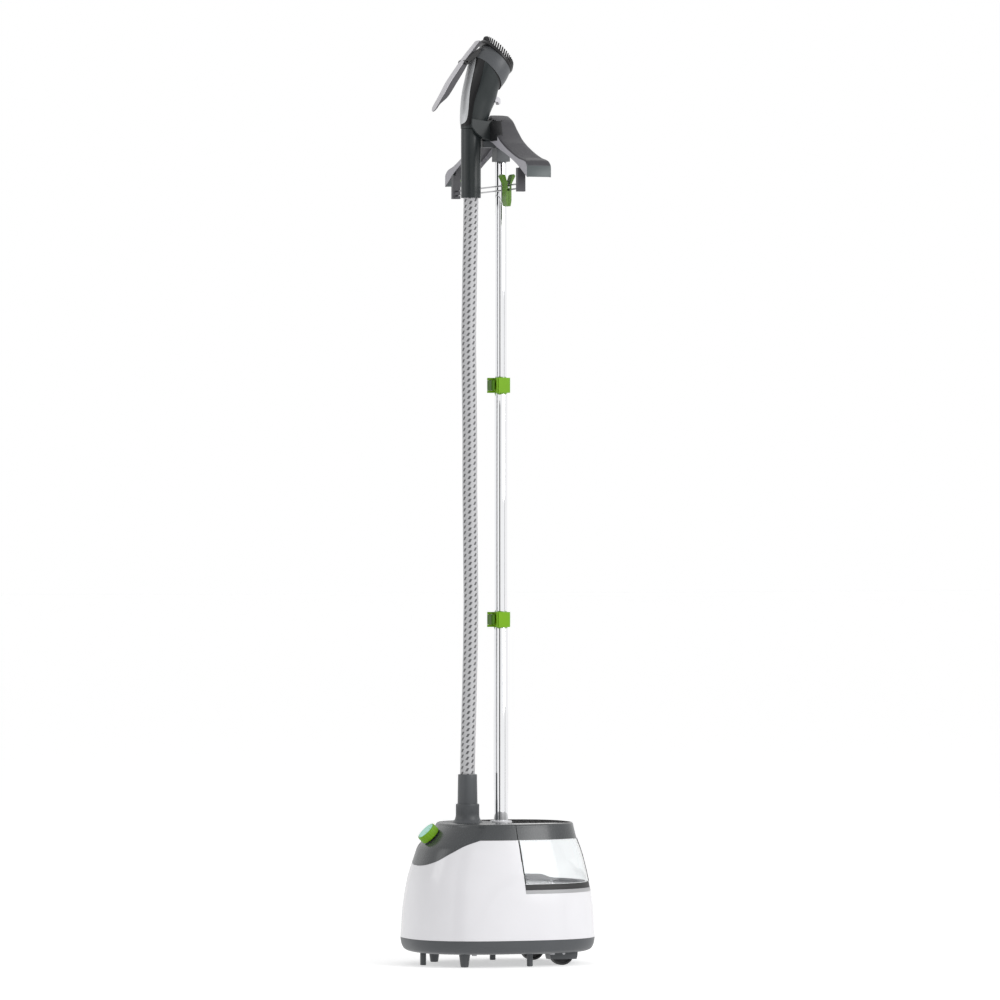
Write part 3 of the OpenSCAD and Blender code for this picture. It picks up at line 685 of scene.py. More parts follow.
def blend_curve(xs: Sequence[float], ys: Sequence[float], x: float) -> float:
    """A smooth curve through points that doesn't overshoot them.

    Args:
        xs: Rising places.
        ys: Values at those places.
        x: Where to read the curve.

    Returns:
        The value at x.
    """
    x = min(max(x, xs[0]), xs[-1])
    slopes = [(ys[i + 1] - ys[i]) / (xs[i + 1] - xs[i]) for i in range(len(xs) - 1)]
    tangents = [slopes[0]]
    for a, b in zip(slopes, slopes[1:]):
        tangents.append(0.0 if a * b <= 0 else 2 * a * b / (a + b))
    tangents.append(slopes[-1])
    i = min(max(sum(1 for place in xs if place <= x) - 1, 0), len(xs) - 2)
    width = xs[i + 1] - xs[i]
    t = (x - xs[i]) / width
    return ((2 * t**3 - 3 * t**2 + 1) * ys[i] + (t**3 - 2 * t**2 + t) * width * tangents[i]
            + (3 * t**2 - 2 * t**3) * ys[i + 1] + (t**3 - t**2) * width * tangents[i + 1])


def step(value: float, low: float, high: float) -> float:
    """A smooth step from 0 at low to 1 at high."""
    t = min(max((value - low) / (high - low), 0.0), 1.0)
    return t * t * (3 - 2 * t)


def finish_piece(finishes: Finishes, piece: bpy.types.Object, body: str, *names: str) -> None:
    """Dresses a piece, lets it ride and reports it."""
    finishes.dress(piece, *names)
    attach(piece, body)
    LOG.info("%s rides on %s in %s", piece.name, body, names[0])


# --- Studio -----------------------------------------------------------------------------


@dataclass
class Studio:
    """The floor, the lights, the dark flags and the camera."""

    azimuth: float = 70.0
    distance: float = 12.0
    height: float = 0.770
    aside: float = 0.0041
    lens: float = 260.0
    world_level: float = 0.52

    def build(self) -> None:
        """Sets up the whole studio."""
        self.place_camera()
        self.light_world()
        self.lay_floor()
        self.hang_lights()
        self.hang_flags()

    def place_camera(self) -> None:
        """Places the level camera on the object's right, a little to its front."""
        turn = math.radians(self.azimuth)
        data = bpy.data.cameras.new("camera")
        data.lens, data.sensor_width = self.lens, 36.0
        data.clip_end = 100.0
        camera = bpy.data.objects.new("camera", data)
        camera.location = (
            math.sin(turn) * self.distance + math.cos(turn) * self.aside,
            -math.cos(turn) * self.distance + math.sin(turn) * self.aside,
            self.height)
        camera.rotation_euler = (math.pi / 2, 0.0, turn)
        bpy.context.scene.collection.objects.link(camera)
        bpy.context.scene.camera = camera
        bpy.context.scene.view_settings.view_transform = "Standard"

    def light_world(self) -> None:
        """A plain surround: white to look at, and softer as a light."""
        world = bpy.data.worlds.new("surround")
        world.use_nodes = True
        sky = world.node_tree.nodes["Background"]
        sky.inputs["Color"].default_value = (1.0, 1.0, 1.0, 1.0)
        tree = world.node_tree
        path = tree.nodes.new("ShaderNodeLightPath")
        seen = math_node(tree, "MULTIPLY_ADD", path.outputs["Is Diffuse Ray"],
                         self.world_level - 1.0, 1.0)
        tree.links.new(seen, sky.inputs["Strength"])
        bpy.context.scene.world = world

    @staticmethod
    def card(name: str, width: float, height: float, place: Point, aim: Point,
             color: Point, glow: float) -> bpy.types.Object:
        """A flat studio card.

        Args:
            name: The card's name.
            width: Its width.
            height: Its height.
            place: Its centre.
            aim: The point it faces.
            color: Its colour.
            glow: How brightly it shines by itself.

        Returns:
            The card.
        """
        w, h = width / 2, height / 2
        piece = from_faces(name, [(-w, -h, 0), (w, -h, 0), (w, h, 0), (-w, h, 0)], [(0, 1, 2, 3)])
        piece.location = place
        piece.rotation_euler = (Vector(aim) - Vector(place)).to_track_quat("-Z", "Y").to_euler()
        material = bpy.data.materials.new(f"{name}_surface")
        material.use_nodes = True
        shader = material.node_tree.nodes["Principled BSDF"]
        shader.inputs["Base Color"].default_value = (*color, 1.0)
        shader.inputs["Roughness"].default_value = 0.9
        shader.inputs["Emission Color"].default_value = (1.0, 1.0, 1.0, 1.0)
        shader.inputs["Emission Strength"].default_value = glow
        piece.data.materials.append(material)
        return piece

    def lay_floor(self) -> None:
        """A wide pale floor, bright enough to melt into the surround."""
        floor = self.card("floor", 90.0, 90.0, (0.0, 0.0, 0.0), (0.0, 0.0, -1.0),
                          (0.86, 0.86, 0.86), 0.5)
        floor.visible_glossy = False

    def hang_lights(self) -> None:
        """One large soft light over each shoulder of the camera."""
        for name, azimuth, height, reach, size, power in (
                ("key", 128.0, 2.2, 3.6, 2.2, 78.0), ("fill", -8.0, 2.0, 3.6, 1.6, 14.0)):
            turn = math.radians(azimuth)
            data = bpy.data.lights.new(name, "AREA")
            data.size, data.energy = size, power
            light = bpy.data.objects.new(name, data)
            light.location = (math.sin(turn) * reach, -math.cos(turn) * reach, height)
            aim = Vector((0.0, 0.0, 0.7)) - light.location
            light.rotation_euler = aim.to_track_quat("-Z", "Y").to_euler()
            bpy.context.scene.collection.objects.link(light)

    def hang_flags(self) -> None:
        """Dark flags out of sight, which draw the dark lines in polished and glossy pieces."""
        for name, off, reach, width, height, level in (
                ("flag_near", -20.8, 2.6, 0.85, 3.2, 0.8), ("flag_side", 72.0, 3.2, 0.3, 3.2, 0.8),
                ("flag_low", 180.0, 1.6, 1.0, 0.2, 0.31)):
            turn = math.radians(self.azimuth + off)
            place = (math.sin(turn) * reach, -math.cos(turn) * reach, level)
            flag = self.card(name, width, height, place, (0.0, 0.0, level), (0.02, 0.02, 0.02), 0.0)
            flag.visible_camera = False
            flag.visible_shadow = False
            flag.visible_diffuse = False
            flag.visible_transmission = False


# --- Hose -------------------------------------------------------------------------------


@dataclass
class SteamHose:
    """The braided hose, in a lower and an upper run that meet without a step."""

    diameter: float = 24.5 * MM
    split: int = 7
    sides: int = 48
    ring_gap: float = 4 * MM
    route: tuple[Pair, ...] = (
        (-53, 266), (-53, 320), (-52, 370), (-50, 440), (-48, 520), (-47, 600), (-48, 700),
        (-49, 790), (-49, 870), (-50, 950), (-51, 1036), (-50, 1100), (-49, 1160),
        (-48, 1210), (-47, 1262), (-47, 1330))
    travel: tuple[float, float] = (0.355, 0.340)
    sleeve_top: float = 0.3135
    sleeve_foot: float = 1.271

    def build(self, finishes: Finishes) -> None:
        line = [(0.0, y * MM, z * MM) for y, z in self.route]
        runs = (("hose_lower", line[:self.split + 1], Body.BASE, "lower_pole_slide",
                 self.sleeve_top, line[self.split][2], self.travel[0]),
                ("hose_upper", line[self.split:], Body.MIDDLE, "upper_pole_slide",
                 line[self.split][2], self.sleeve_foot, self.travel[1]))
        start = 0.0
        for name, points, body, joint, fixed, end, travel in runs:
            dense = self.dense(points)
            piece = self.tube(name, dense, start)
            finish_piece(finishes, piece, body.value, "hose_braid")
            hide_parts("hose")
            length = sum((Vector(a) - Vector(b)).length for a, b in zip(dense, dense[1:]))
            start += length
            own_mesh(piece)

    def dense(self, points: Sequence[Point]) -> list[Point]:
        """Evenly spaced points along the run, each stretch straight as in the route."""
        dense = [points[0]]
        for a, b in zip(points, points[1:]):
            count = max(1, math.ceil((Vector(b) - Vector(a)).length / self.ring_gap))
            dense += [tuple(Vector(a).lerp(Vector(b), (i + 1) / count)) for i in range(count)]
        return dense

    def tube(self, name: str, line: Sequence[Point], start: float) -> bpy.types.Object:
        """Sweeps the run and gives it lengthwise coordinates.

        Args:
            name: The run's name.
            line: Its centreline.
            start: The hose's length before this run.

        Returns:
            The run as one closed tube.
        """
        radius = self.diameter / 2
        rings, lengths, gone = [], [], start
        for i, place in enumerate(line):
            if i:
                gone += (Vector(place) - Vector(line[i - 1])).length
            lengths.append(gone)
            rings.append([(place[0] + radius * math.cos(2 * math.pi * k / self.sides),
                           place[1] + radius * math.sin(2 * math.pi * k / self.sides), place[2])
                          for k in range(self.sides)])
        piece = loft(name, rings)
        layer = piece.data.uv_layers.new(name="UVMap")
        for face in piece.data.polygons:
            corners = list(face.loop_indices)
            spots = [piece.data.loops[c].vertex_index for c in corners]
            around = [spot % self.sides for spot in spots]
            wraps = max(around) - min(around) > self.sides / 2
            for corner, spot, turn in zip(corners, spots, around):
                u = turn + (self.sides if wraps and turn < self.sides / 2 else 0)
                layer.data[corner].uv = (u / self.sides, lengths[spot // self.sides] * 10)
        return smooth(piece, 50)


# --- Base -------------------------------------------------------------------------------


@dataclass
class Casing:
    """The base: body, deck, tray and the tank with its lid and foot."""

    half_width: float = 128.0
    half_length: float = 160.0
    wall: float = 3.0
    steps: int = 144
    levels: tuple[float, ...] = (45, 90, 142, 180, 194, 209, 231, 235)
    in_width: tuple[float, ...] = (0, 2, 10, 18, 21, 25, 30, 34)
    in_front: tuple[float, ...] = (0, 3, 11, 23, 28, 41.5, 61.4, 68)
    in_rear: tuple[float, ...] = (0, 2.5, 11, 20, 24.5, 30, 35.5, 39)
    seam: tuple[Pair, ...] = ((-64, 209), (-88, 200), (-110, 187), (-131, 172), (-150, 163),
                              (-190, 163))
    crease: tuple[Pair, ...] = ((-90, 50), (-77, 80), (-60, 110), (-48, 128), (-20, 144),
                                (-2, 151), (56, 159), (110, 171), (160, 180))
    tank_low: float = 128.0
    gap: float = 0.5
    knob: Point = (0.0, -122.0, 218.0)

    def reach(self, height: float, inset: float) -> tuple[float, float, float]:
        """Half width, front and rear reach at a height, with the top edge rounded."""
        if height > self.levels[-2]:
            share = min((height - self.levels[-2]) / (self.levels[-1] - self.levels[-2]), 1.0)
            share = 1 - math.sqrt(max(1 - share * share, 0.0))
            cuts = [c[-2] + (c[-1] - c[-2]) * share
                    for c in (self.in_width, self.in_front, self.in_rear)]
        else:
            cuts = [blend_curve(self.levels[:-1], c[:-1], height)
                    for c in (self.in_width, self.in_front, self.in_rear)]
        return (self.half_width - cuts[0] - inset, self.half_length - cuts[1] - inset,
                self.half_length - cuts[2] - inset)

    def ring(self, height: float, inset: float, level: float | None = None) -> list[Point]:
        """One ring of the casing.

        Args:
            height: The height that sets its outline.
            inset: How far it lies inside the outer surface.
            level: Where it lies, if that isn't the height.

        Returns:
            The ring's points in metres.
        """
        half, front, rear = self.reach(height, inset)
        z = height if level is None else level
        points = []
        for i in range(self.steps):
            turn = 2 * math.pi * (i + 0.5) / self.steps
            c, s = math.cos(turn), math.sin(turn)
            x = half * math.copysign(abs(c) ** 0.8, c)
            y = (front if s < 0 else rear) * math.copysign(abs(s) ** 0.8, s)
            swell = 0.0 if inset > 1 else self.swell(x, y, z)
            points.append(((x + math.copysign(swell, x)) * MM, y * MM, z * MM))
        return points

    def swell(self, x: float, y: float, z: float) -> float:
        """How far the flank stands out below its soft crease line."""
        places = [p[0] for p in self.crease]
        line = blend_curve(places, [p[1] for p in self.crease], y)
        side = step(y, -92, -40) * step(abs(x), 35, 95) * (1 - step(y, 90, 140))
        return 1.3 * side * (1 - step(z - line, -9, 9)) * step(z, 46, 80)

    def form(self, name: str, inset: float, low: float, high: float) -> bpy.types.Object:
        """The casing's solid form, or its hollow."""
        heights = [45 + 3.1 * i for i in range(60)] + [231.0]
        rings = [self.ring(h, inset, low if h == 45 else None) for h in heights if h < 231.5]
        for turn in (15, 30, 45, 60, 75, 90):
            lift = math.sin(math.radians(turn))
            rings.append(self.ring(231 + 4 * lift, inset, 231 + (high - 231) * lift))
        return loft(name, rings)

    def seam_tool(self, lift: float, above: bool) -> bpy.types.Object:
        """The solid above or below the body's seam."""
        line = [(200.0, 209.0)] + self.smooth_seam()
        far = 300.0 if above else 0.0
        outline = [(y, z + lift) for y, z in line] + [(-190.0, far), (200.0, far)]
        return side_prism("seam_tool", scaled(outline), -0.2, 0.2)

    def smooth_seam(self) -> list[Pair]:
        """The seam's falling part with its corners eased."""
        places = [-y for y, _ in self.seam]
        heights = [z for _, z in self.seam]
        return [(-p, blend_curve(places, heights, p)) for p in np.linspace(64, 190, 64)]

    def tank_tool(self, grow: float, low: float, high: float = 260.0) -> bpy.types.Object:
        """The tank's space, behind its leaning seam and clear of the pole's tongue."""
        lean = -5.5 - 10.5 * (high - 260) / (260 - self.tank_low)
        outline = [(5 - grow, low), (200, low), (200, high), (lean - grow, high)]
        tool = side_prism("tank_tool", scaled(outline), -0.2, 0.2)
        bore = turned("bore", [((24 - grow) * MM, (low - 1) * MM), ((24 - grow) * MM, 0.3)], 96)
        return carve(tool, "DIFFERENCE", moved(bore, Matrix.Translation((0, 2 * MM, 0))))

    def build(self, finishes: Finishes) -> None:
        """Builds the casing's pieces and the tank."""
        outer = self.form("outer", 0.0, 45.0, 235.0)
        inner = self.form("inner", self.wall, 44.0, 232.0)
        shell = carve(duplicate(outer, "shell"), "DIFFERENCE", inner)
        body = carve(duplicate(shell, "body_moulding"), "INTERSECT", self.seam_tool(0, False))
        carve(body, "DIFFERENCE", self.tank_tool(0, self.tank_low - 0.6))
        self.close(finishes, body, Body.BASE, "body_shell", "white_moulding")
        deck = carve(shell, "INTERSECT", self.seam_tool(self.gap, True))
        shell.name = "deck_moulding"
        carve(deck, "DIFFERENCE", self.tank_tool(0, 100.0), *self.deck_holes())
        self.close(finishes, deck, Body.BASE, "deck_cover", "deck_moulding")
        self.build_tank(finishes, outer)
        self.build_tray(finishes)
        self.build_seat(finishes)

    def deck_holes(self) -> list[bpy.types.Object]:
        """The deck's holes for the pole, the hose's collar and the dial's stem."""
        holes = []
        for y, radius in ((6, 16.5), (-53, 17)):
            hole = turned("hole", [(radius * MM, 0.2), (radius * MM, 0.25)], 96)
            holes.append(moved(hole, Matrix.Translation((0, y * MM, 0))))
        stem = turned("hole", [(3.1 * MM, -30 * MM), (3.1 * MM, 30 * MM)], 48)
        holes.append(moved(stem, self.knob_frame()))
        return holes

    def knob_frame(self) -> Matrix:
        """Where the foot dial sits, facing up and to the front."""
        return Matrix.Translation([v * MM for v in self.knob]) @ Matrix.Rotation(
            math.radians(45), 4, "X")

    @staticmethod
    def close(finishes: Finishes, piece: bpy.types.Object, body: Body, node: str,
              *names: str) -> None:
        """Finishes one moulding that stands for a CAD node."""
        smooth(piece, 28)
        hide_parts(node)
        finish_piece(finishes, piece, body.value, *names)

    def build_tank(self, finishes: Finishes, outer: bpy.types.Object) -> None:
        """The clear tank with its dark trims, a painted-shade corner line, its gloss lid, its foot and
        the ledge below.
        """
        block = carve(outer, "INTERSECT", self.tank_tool(-0.6, self.tank_low))
        hollow = self.form("hollow", 2.6, 44.0, 232.4)
        carve(hollow, "INTERSECT", self.tank_tool(-3.2, self.tank_low + 3))
        walls = carve(duplicate(block, "walls"), "DIFFERENCE", hollow)
        band = self.slab("band", 137.2, 208.6)
        clear = carve(duplicate(walls, "tank_clear"), "INTERSECT", band)
        trims = carve(duplicate(clear, "tank_trim"), "INTERSECT", self.front_trim())
        carve(clear, "DIFFERENCE", self.front_trim(0.05))
        self.close(finishes, trims, Body.TANK, "tank_shell", "seal_rubber")
        self.close(finishes, clear, Body.TANK, "tank_shell", "clear_tank")
        lid = carve(duplicate(walls, "tank_lid"), "INTERSECT", self.slab("top", 209.2, 240.0))
        self.close(finishes, lid, Body.TANK, "tank_cover", "deck_moulding", "gloss_lid")
        # The lid's top faces take the near-black gloss copy of the deck finish: the gloss is the lid's
        # own, the near-black is painted shade on the top.
        for face in lid.data.polygons:
            high = face.center.z > 234.2 * MM
            face.material_index = 1 if high and face.normal.z > 0.6 else 0
        foot = carve(walls, "INTERSECT", self.slab("low", 120.0, 136.8))
        walls.name = "tank_foot"
        spout = turned("spout", [(9 * MM, 0.112), (9 * MM, 0.1282)], 64)
        carve(spout, "DIFFERENCE", turned("bore", [(7 * MM, 0.111), (7 * MM, 0.13)], 64))
        moved(spout, Matrix.Translation((28 * MM, 85 * MM, 0)))
        whole = joined("tank_foot_moulding", [foot, spout])
        self.close(finishes, whole, Body.TANK, "tank_base", "black_moulding", "white_moulding")
        for face in whole.data.polygons:
            outer = face.normal.x * face.center.x + face.normal.y * face.center.y > 0.02
            face.material_index = 0 if outer and abs(face.normal.z) < 0.6 else 1
        discard(block)
        corner_shade = self.painted_corner_shade()
        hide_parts("tank_shell")
        finish_piece(finishes, corner_shade, Body.TANK.value, "seal_rubber")
        self.build_ledge(finishes)

    def painted_corner_shade(self) -> bpy.types.Object:
        """A slim dark line down the tank's rear corner, on the right side only: painted shade for the
        clear wall seen edge-on.
        """
        rings = []
        for height in np.linspace(137.3, 208.5, 30):
            x, y, z = max(self.ring(float(height), 0.5),
                          key=lambda p: CORNER_DIRECTION[0] * p[0] + CORNER_DIRECTION[1] * p[1])
            rings.append([(x + 1.25 * MM * math.cos(math.pi * i / 8),
                           y + 1.25 * MM * math.sin(math.pi * i / 8), z) for i in range(16)])
        return smooth(loft("tank_corner_painted_shade", rings), 40)

    def build_ledge(self, finishes: Finishes) -> None:
        """The pale ledge under the tank, standing a little proud of the body."""
        ledge = self.form("tank_ledge", -0.5, 45.0, 235.0)
        carve(ledge, "DIFFERENCE", self.form("inner", 1.0, 44.0, 234.0))
        outline = [(5.6, 121.4), (200, 121.4), (200, 127.3), (5.2, 127.3)]
        carve(ledge, "INTERSECT", side_prism("ledge_tool", scaled(outline),
                                             -0.2, 0.2))
        smooth(ledge, 28)
        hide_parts("body_shell")
        finish_piece(finishes, ledge, Body.BASE.value, "ledge_moulding")

    def slab(self, name: str, low: float, high: float) -> bpy.types.Object:
        """A level slice of space."""
        return box_between(name, (-0.2, -0.2, low * MM), (0.2, 0.2, high * MM))

    def front_trim(self, grow: float = 0.0) -> bpy.types.Object:
        """The strip of space just behind the tank's leaning front seam."""
        outline = [(-40, 100), (6.8 + grow, 100), (-3.7 + grow, 260), (-40, 260)]
        return side_prism("trim_tool", scaled(outline), -0.2, 0.2)

    def build_tray(self, finishes: Finishes) -> None:
        """The grey tray with its wheel housings, axle holes and vents."""
        places, cuts = (22, 24, 27, 35, 44.6), (14.0, 8.6, 5.0, 1.5, 0.0)
        heights = [22 + 22.6 * i / 18 for i in range(19)]
        half, front = self.half_width, self.half_length
        forms = []
        for inset, lift in ((0.0, 0.0), (self.wall, self.wall)):
            rings = []
            for h in heights:
                cut = blend_curve(places, cuts, h)
                level = h + (lift if h < 44 else 1.0) * (1 if inset else 0)
                spare = Casing(half_width=half - cut, half_length=front - cut)
                rings.append([(x, y, min(level, 46) * MM)
                              for x, y, _ in spare.ring(45.0, inset)])
            forms.append(loft("tray_form", rings))
        tray = carve(forms[0], "DIFFERENCE", forms[1])
        for side in (-1, 1):
            bulge = self.well(side, 24.5, 12.0)
            carve(bulge, "INTERSECT", box_between("cap", (-0.1, 0.05, 0.01), (0.1, 0.125, 0.0444)))
            carve(tray, "UNION", bulge)
        for side in (-1, 1):
            carve(tray, "DIFFERENCE", self.well(side, 22.2, 9.5), self.well(side, 2.5, 14.0),
                  box_between("mouth", ((side * 70 - 9.5) * MM, 64.8 * MM, 0.0),
                              ((side * 70 + 9.5) * MM, 109.2 * MM, 0.02)))
        for x in range(-60, 61, 20):
            carve(tray, "DIFFERENCE", box_between("vent", ((x - 2) * MM, -50 * MM, 20 * MM),
                                                  ((x + 2) * MM, -10 * MM, 27 * MM)))
        tray.name = "tray_moulding"
        self.close(finishes, tray, Body.BASE, "base_tray", "grey_moulding")

    def well(self, side: int, radius: float, half: float) -> bpy.types.Object:
        """A drum on a wheel's axis."""
        drum = turned("drum", [(radius * MM, -half * MM), (radius * MM, half * MM)], 72)
        return moved(drum, Matrix.Translation((side * 70 * MM, 87 * MM, 20 * MM))
                     @ Matrix.Rotation(QUARTER_TURN, 4, "Y"))

    def build_seat(self, finishes: Finishes) -> None:
        """The pole's white seat with its rounded flange."""
        profile = [(11.8, 60), (11.8, 237.2), (12.2, 237.7), (17.0, 237.5), (18.2, 236.8),
                   (18.5, 235.0), (16.4, 235.0), (16.0, 60)]
        rings = scaled(profile)
        seat = turned("pole_seat", rings + rings[:1], 96)
        moved(seat, Matrix.Translation((0, 6 * MM, 0)))
        drop_caps(seat, 96)
        under = turned("pole_stop", [(8 * MM, 25 * MM), (8 * MM, 56 * MM), (16 * MM, 56 * MM),
                                     (16 * MM, 60 * MM)], 64)
        moved(under, Matrix.Translation((0, 6 * MM, 0)))
        whole = joined("pole_seat_moulding", [seat, under])
        self.close(finishes, whole, Body.BASE, "pole_socket", "white_moulding")


def drop_caps(piece: bpy.types.Object, steps: int) -> None:
    """Takes the end caps off a loft whose last ring meets its first."""
    work = bmesh.new()
    work.from_mesh(piece.data)
    bmesh.ops.delete(work, geom=[f for f in work.faces if len(f.verts) == steps],
                     context="FACES_ONLY")
    bmesh.ops.remove_doubles(work, verts=work.verts, dist=0.00001)
    bmesh.ops.recalc_face_normals(work, faces=work.faces)
    work.to_mesh(piece.data)
    work.free()


@dataclass
class FootDial:
    """The fluted green foot dial and its mint face."""

    radius: float = 17.4
    flutes: int = 24
    marks: int = 6

    def build(self, finishes: Finishes, frame_of_dial: Matrix) -> None:
        """Builds the rim, the face and its marks."""
        def flute(angle: float, height: float) -> float:
            """The rim's change of radius at one angle and height."""
            wave = 0.5 + 0.5 * math.cos(self.flutes * angle)
            body = step(height, -6.4 * MM, -4.5 * MM) * (1 - step(height, 4.8 * MM, 6.2 * MM))
            return -0.7 * MM * wave ** 3 * body

        r = self.radius
        profile = [(r - 1.6, -6.8), (r - 0.6, -6.6), (r, -5.8), (r, -3), (r, 0), (r, 3),
                   (r - 0.1, 5.0), (r - 0.5, 6.1), (r - 1.1, 6.5), (15.6, 6.5), (15.2, 6.2),
                   (15.1, 5.4)]
        rim = turned("dial_rim", scaled(profile), 288, flute)
        stem = turned("dial_stem", [(3 * MM, -26 * MM), (3 * MM, -6 * MM)], 48)
        knob = moved(joined("dial_knob_moulding", [rim, stem]), frame_of_dial)
        smooth(knob, 40)
        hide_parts("dial_knob")
        finish_piece(finishes, knob, Body.DIAL.value, "lime_moulding")
        profile = [(15, 5.5), (15, 6.4), (14.6, 6.9), (12, 7.05), (8, 7.1), (0.5, 7.1)]
        face = turned("dial_disc", scaled(profile), 96)
        smooth(moved(face, frame_of_dial), 40)
        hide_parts("dial_face")
        finish_piece(finishes, face, Body.DIAL.value, "mint_face")
        self.mark(finishes, frame_of_dial)

    def mark(self, finishes: Finishes, frame_of_dial: Matrix) -> None:
        """Growing dots round the face, for less and more steam."""
        dots = []
        for i in range(self.marks):
            turn = math.radians(200 - 44 * i)
            size = (0.5 + 0.16 * i) * MM
            dot = turned("dot", [(size, 6.9 * MM), (size, 7.15 * MM), (size * 0.6, 7.25 * MM)], 32)
            dots.append(moved(dot, Matrix.Translation((11.6 * MM * math.cos(turn),
                                                       11.6 * MM * math.sin(turn), 0))))
        marks = moved(joined("dial_marks", dots), frame_of_dial)
        finish_piece(finishes, smooth(marks), Body.DIAL.value, "lime_moulding")


@dataclass
class Collar:
    """The hose's ribbed collar and its sleeve."""

    y: float = -53.0
    ribs: int = 36

    def build(self, finishes: Finishes) -> None:
        """Builds the flared ring and the sleeve above it."""
        def rib(angle: float, height: float) -> float:
            """The barrel's change of radius at one angle and height."""
            band = step(height, 246 * MM, 248 * MM) * (1 - step(height, 263.5 * MM, 264.5 * MM))
            return -0.45 * MM * band * (0.5 + 0.5 * math.cos(self.ribs * angle)) ** 4

        flare = [(26.5, 235.0), (26.3, 235.4), (23.5, 237.2), (21.8, 239.4), (20.6, 242),
                 (19.8, 245), (19.5, 248)]
        barrel = [(19.5, 250), (19.5, 256), (19.5, 262), (19.5, 264.8), (19.2, 265.7), (18.6, 266)]
        rings = [(r * MM, z * MM) for r, z in [*flare, *barrel, (12.9, 266), (12.9, 235)]]
        ring = self.tube("collar_moulding", rings, 288, rib)
        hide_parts("collar_ring")
        finish_piece(finishes, ring, Body.BASE.value, "grey_moulding")
        sleeve = [(16.6, 266), (16.6, 268), (16.3, 285), (15.95, 305), (15.8, 314), (15.6, 314.7),
                  (15.2, 315), (13.2, 315), (12.9, 314.6), (12.9, 266)]
        rings = scaled(sleeve)
        guard = self.tube("hose_guard", rings, 96, None)
        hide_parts("hose_sleeve")
        finish_piece(finishes, guard, Body.BASE.value, "grey_moulding")

    def tube(self, name: str, rings: list[Pair], steps: int,
             wobble: Callable[[float, float], float] | None) -> bpy.types.Object:
        """A hollow turned piece round the hose."""
        piece = turned(name, rings + rings[:1], steps, wobble)
        drop_caps(piece, steps)
        moved(piece, Matrix.Translation((0, self.y * MM, 0)))
        return smooth(piece, 40)


@dataclass
class Pole:
    """The three polished tubes with their clamps and levers."""

    y: float = 6.0
    tubes: tuple[tuple[str, str, float, float, float], ...] = (
        ("pole_lower", "base", 11.75, 60, 576), ("pole_middle", "middle_stage", 10.65, 499, 965),
        ("pole_upper", "top_stage", 9.55, 888, 1362))
    wall: float = 1.05

    def build(self, finishes: Finishes) -> None:
        """Builds the tubes and finishes the clamps."""
        for node, body, radius, low, high in self.tubes:
            r, w = radius, self.wall
            profile = [(r - w, low), (r - 0.2, low), (r, low + 0.3), (r, high - 0.3),
                       (r - 0.2, high), (r - w + 0.1, high), (r - w, high - 0.1)]
            rings = scaled(profile)
            tube = turned(f"{node}_tube", rings + rings[:1], 128)
            drop_caps(tube, 128)
            moved(tube, Matrix.Translation((0, self.y * MM, 0)))
            smooth(tube, 40)
            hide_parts(node)
            finish_piece(finishes, tube, body, "polished_chrome")
        # The levers take the darker copy of the clamps' lime as painted shade.
        for node, body, name in (("lower_clamp", "base", "lime_moulding"),
                                 ("upper_clamp", "middle_stage", "lime_moulding"),
                                 ("lower_lever", "lower_lever", "lever_lime_painted_shade"),
                                 ("upper_lever", "upper_lever", "lever_lime_painted_shade")):
            finish_piece(finishes, refined(node, 0.9 * MM, 3), body, name)


# --- Hanger -----------------------------------------------------------------------------


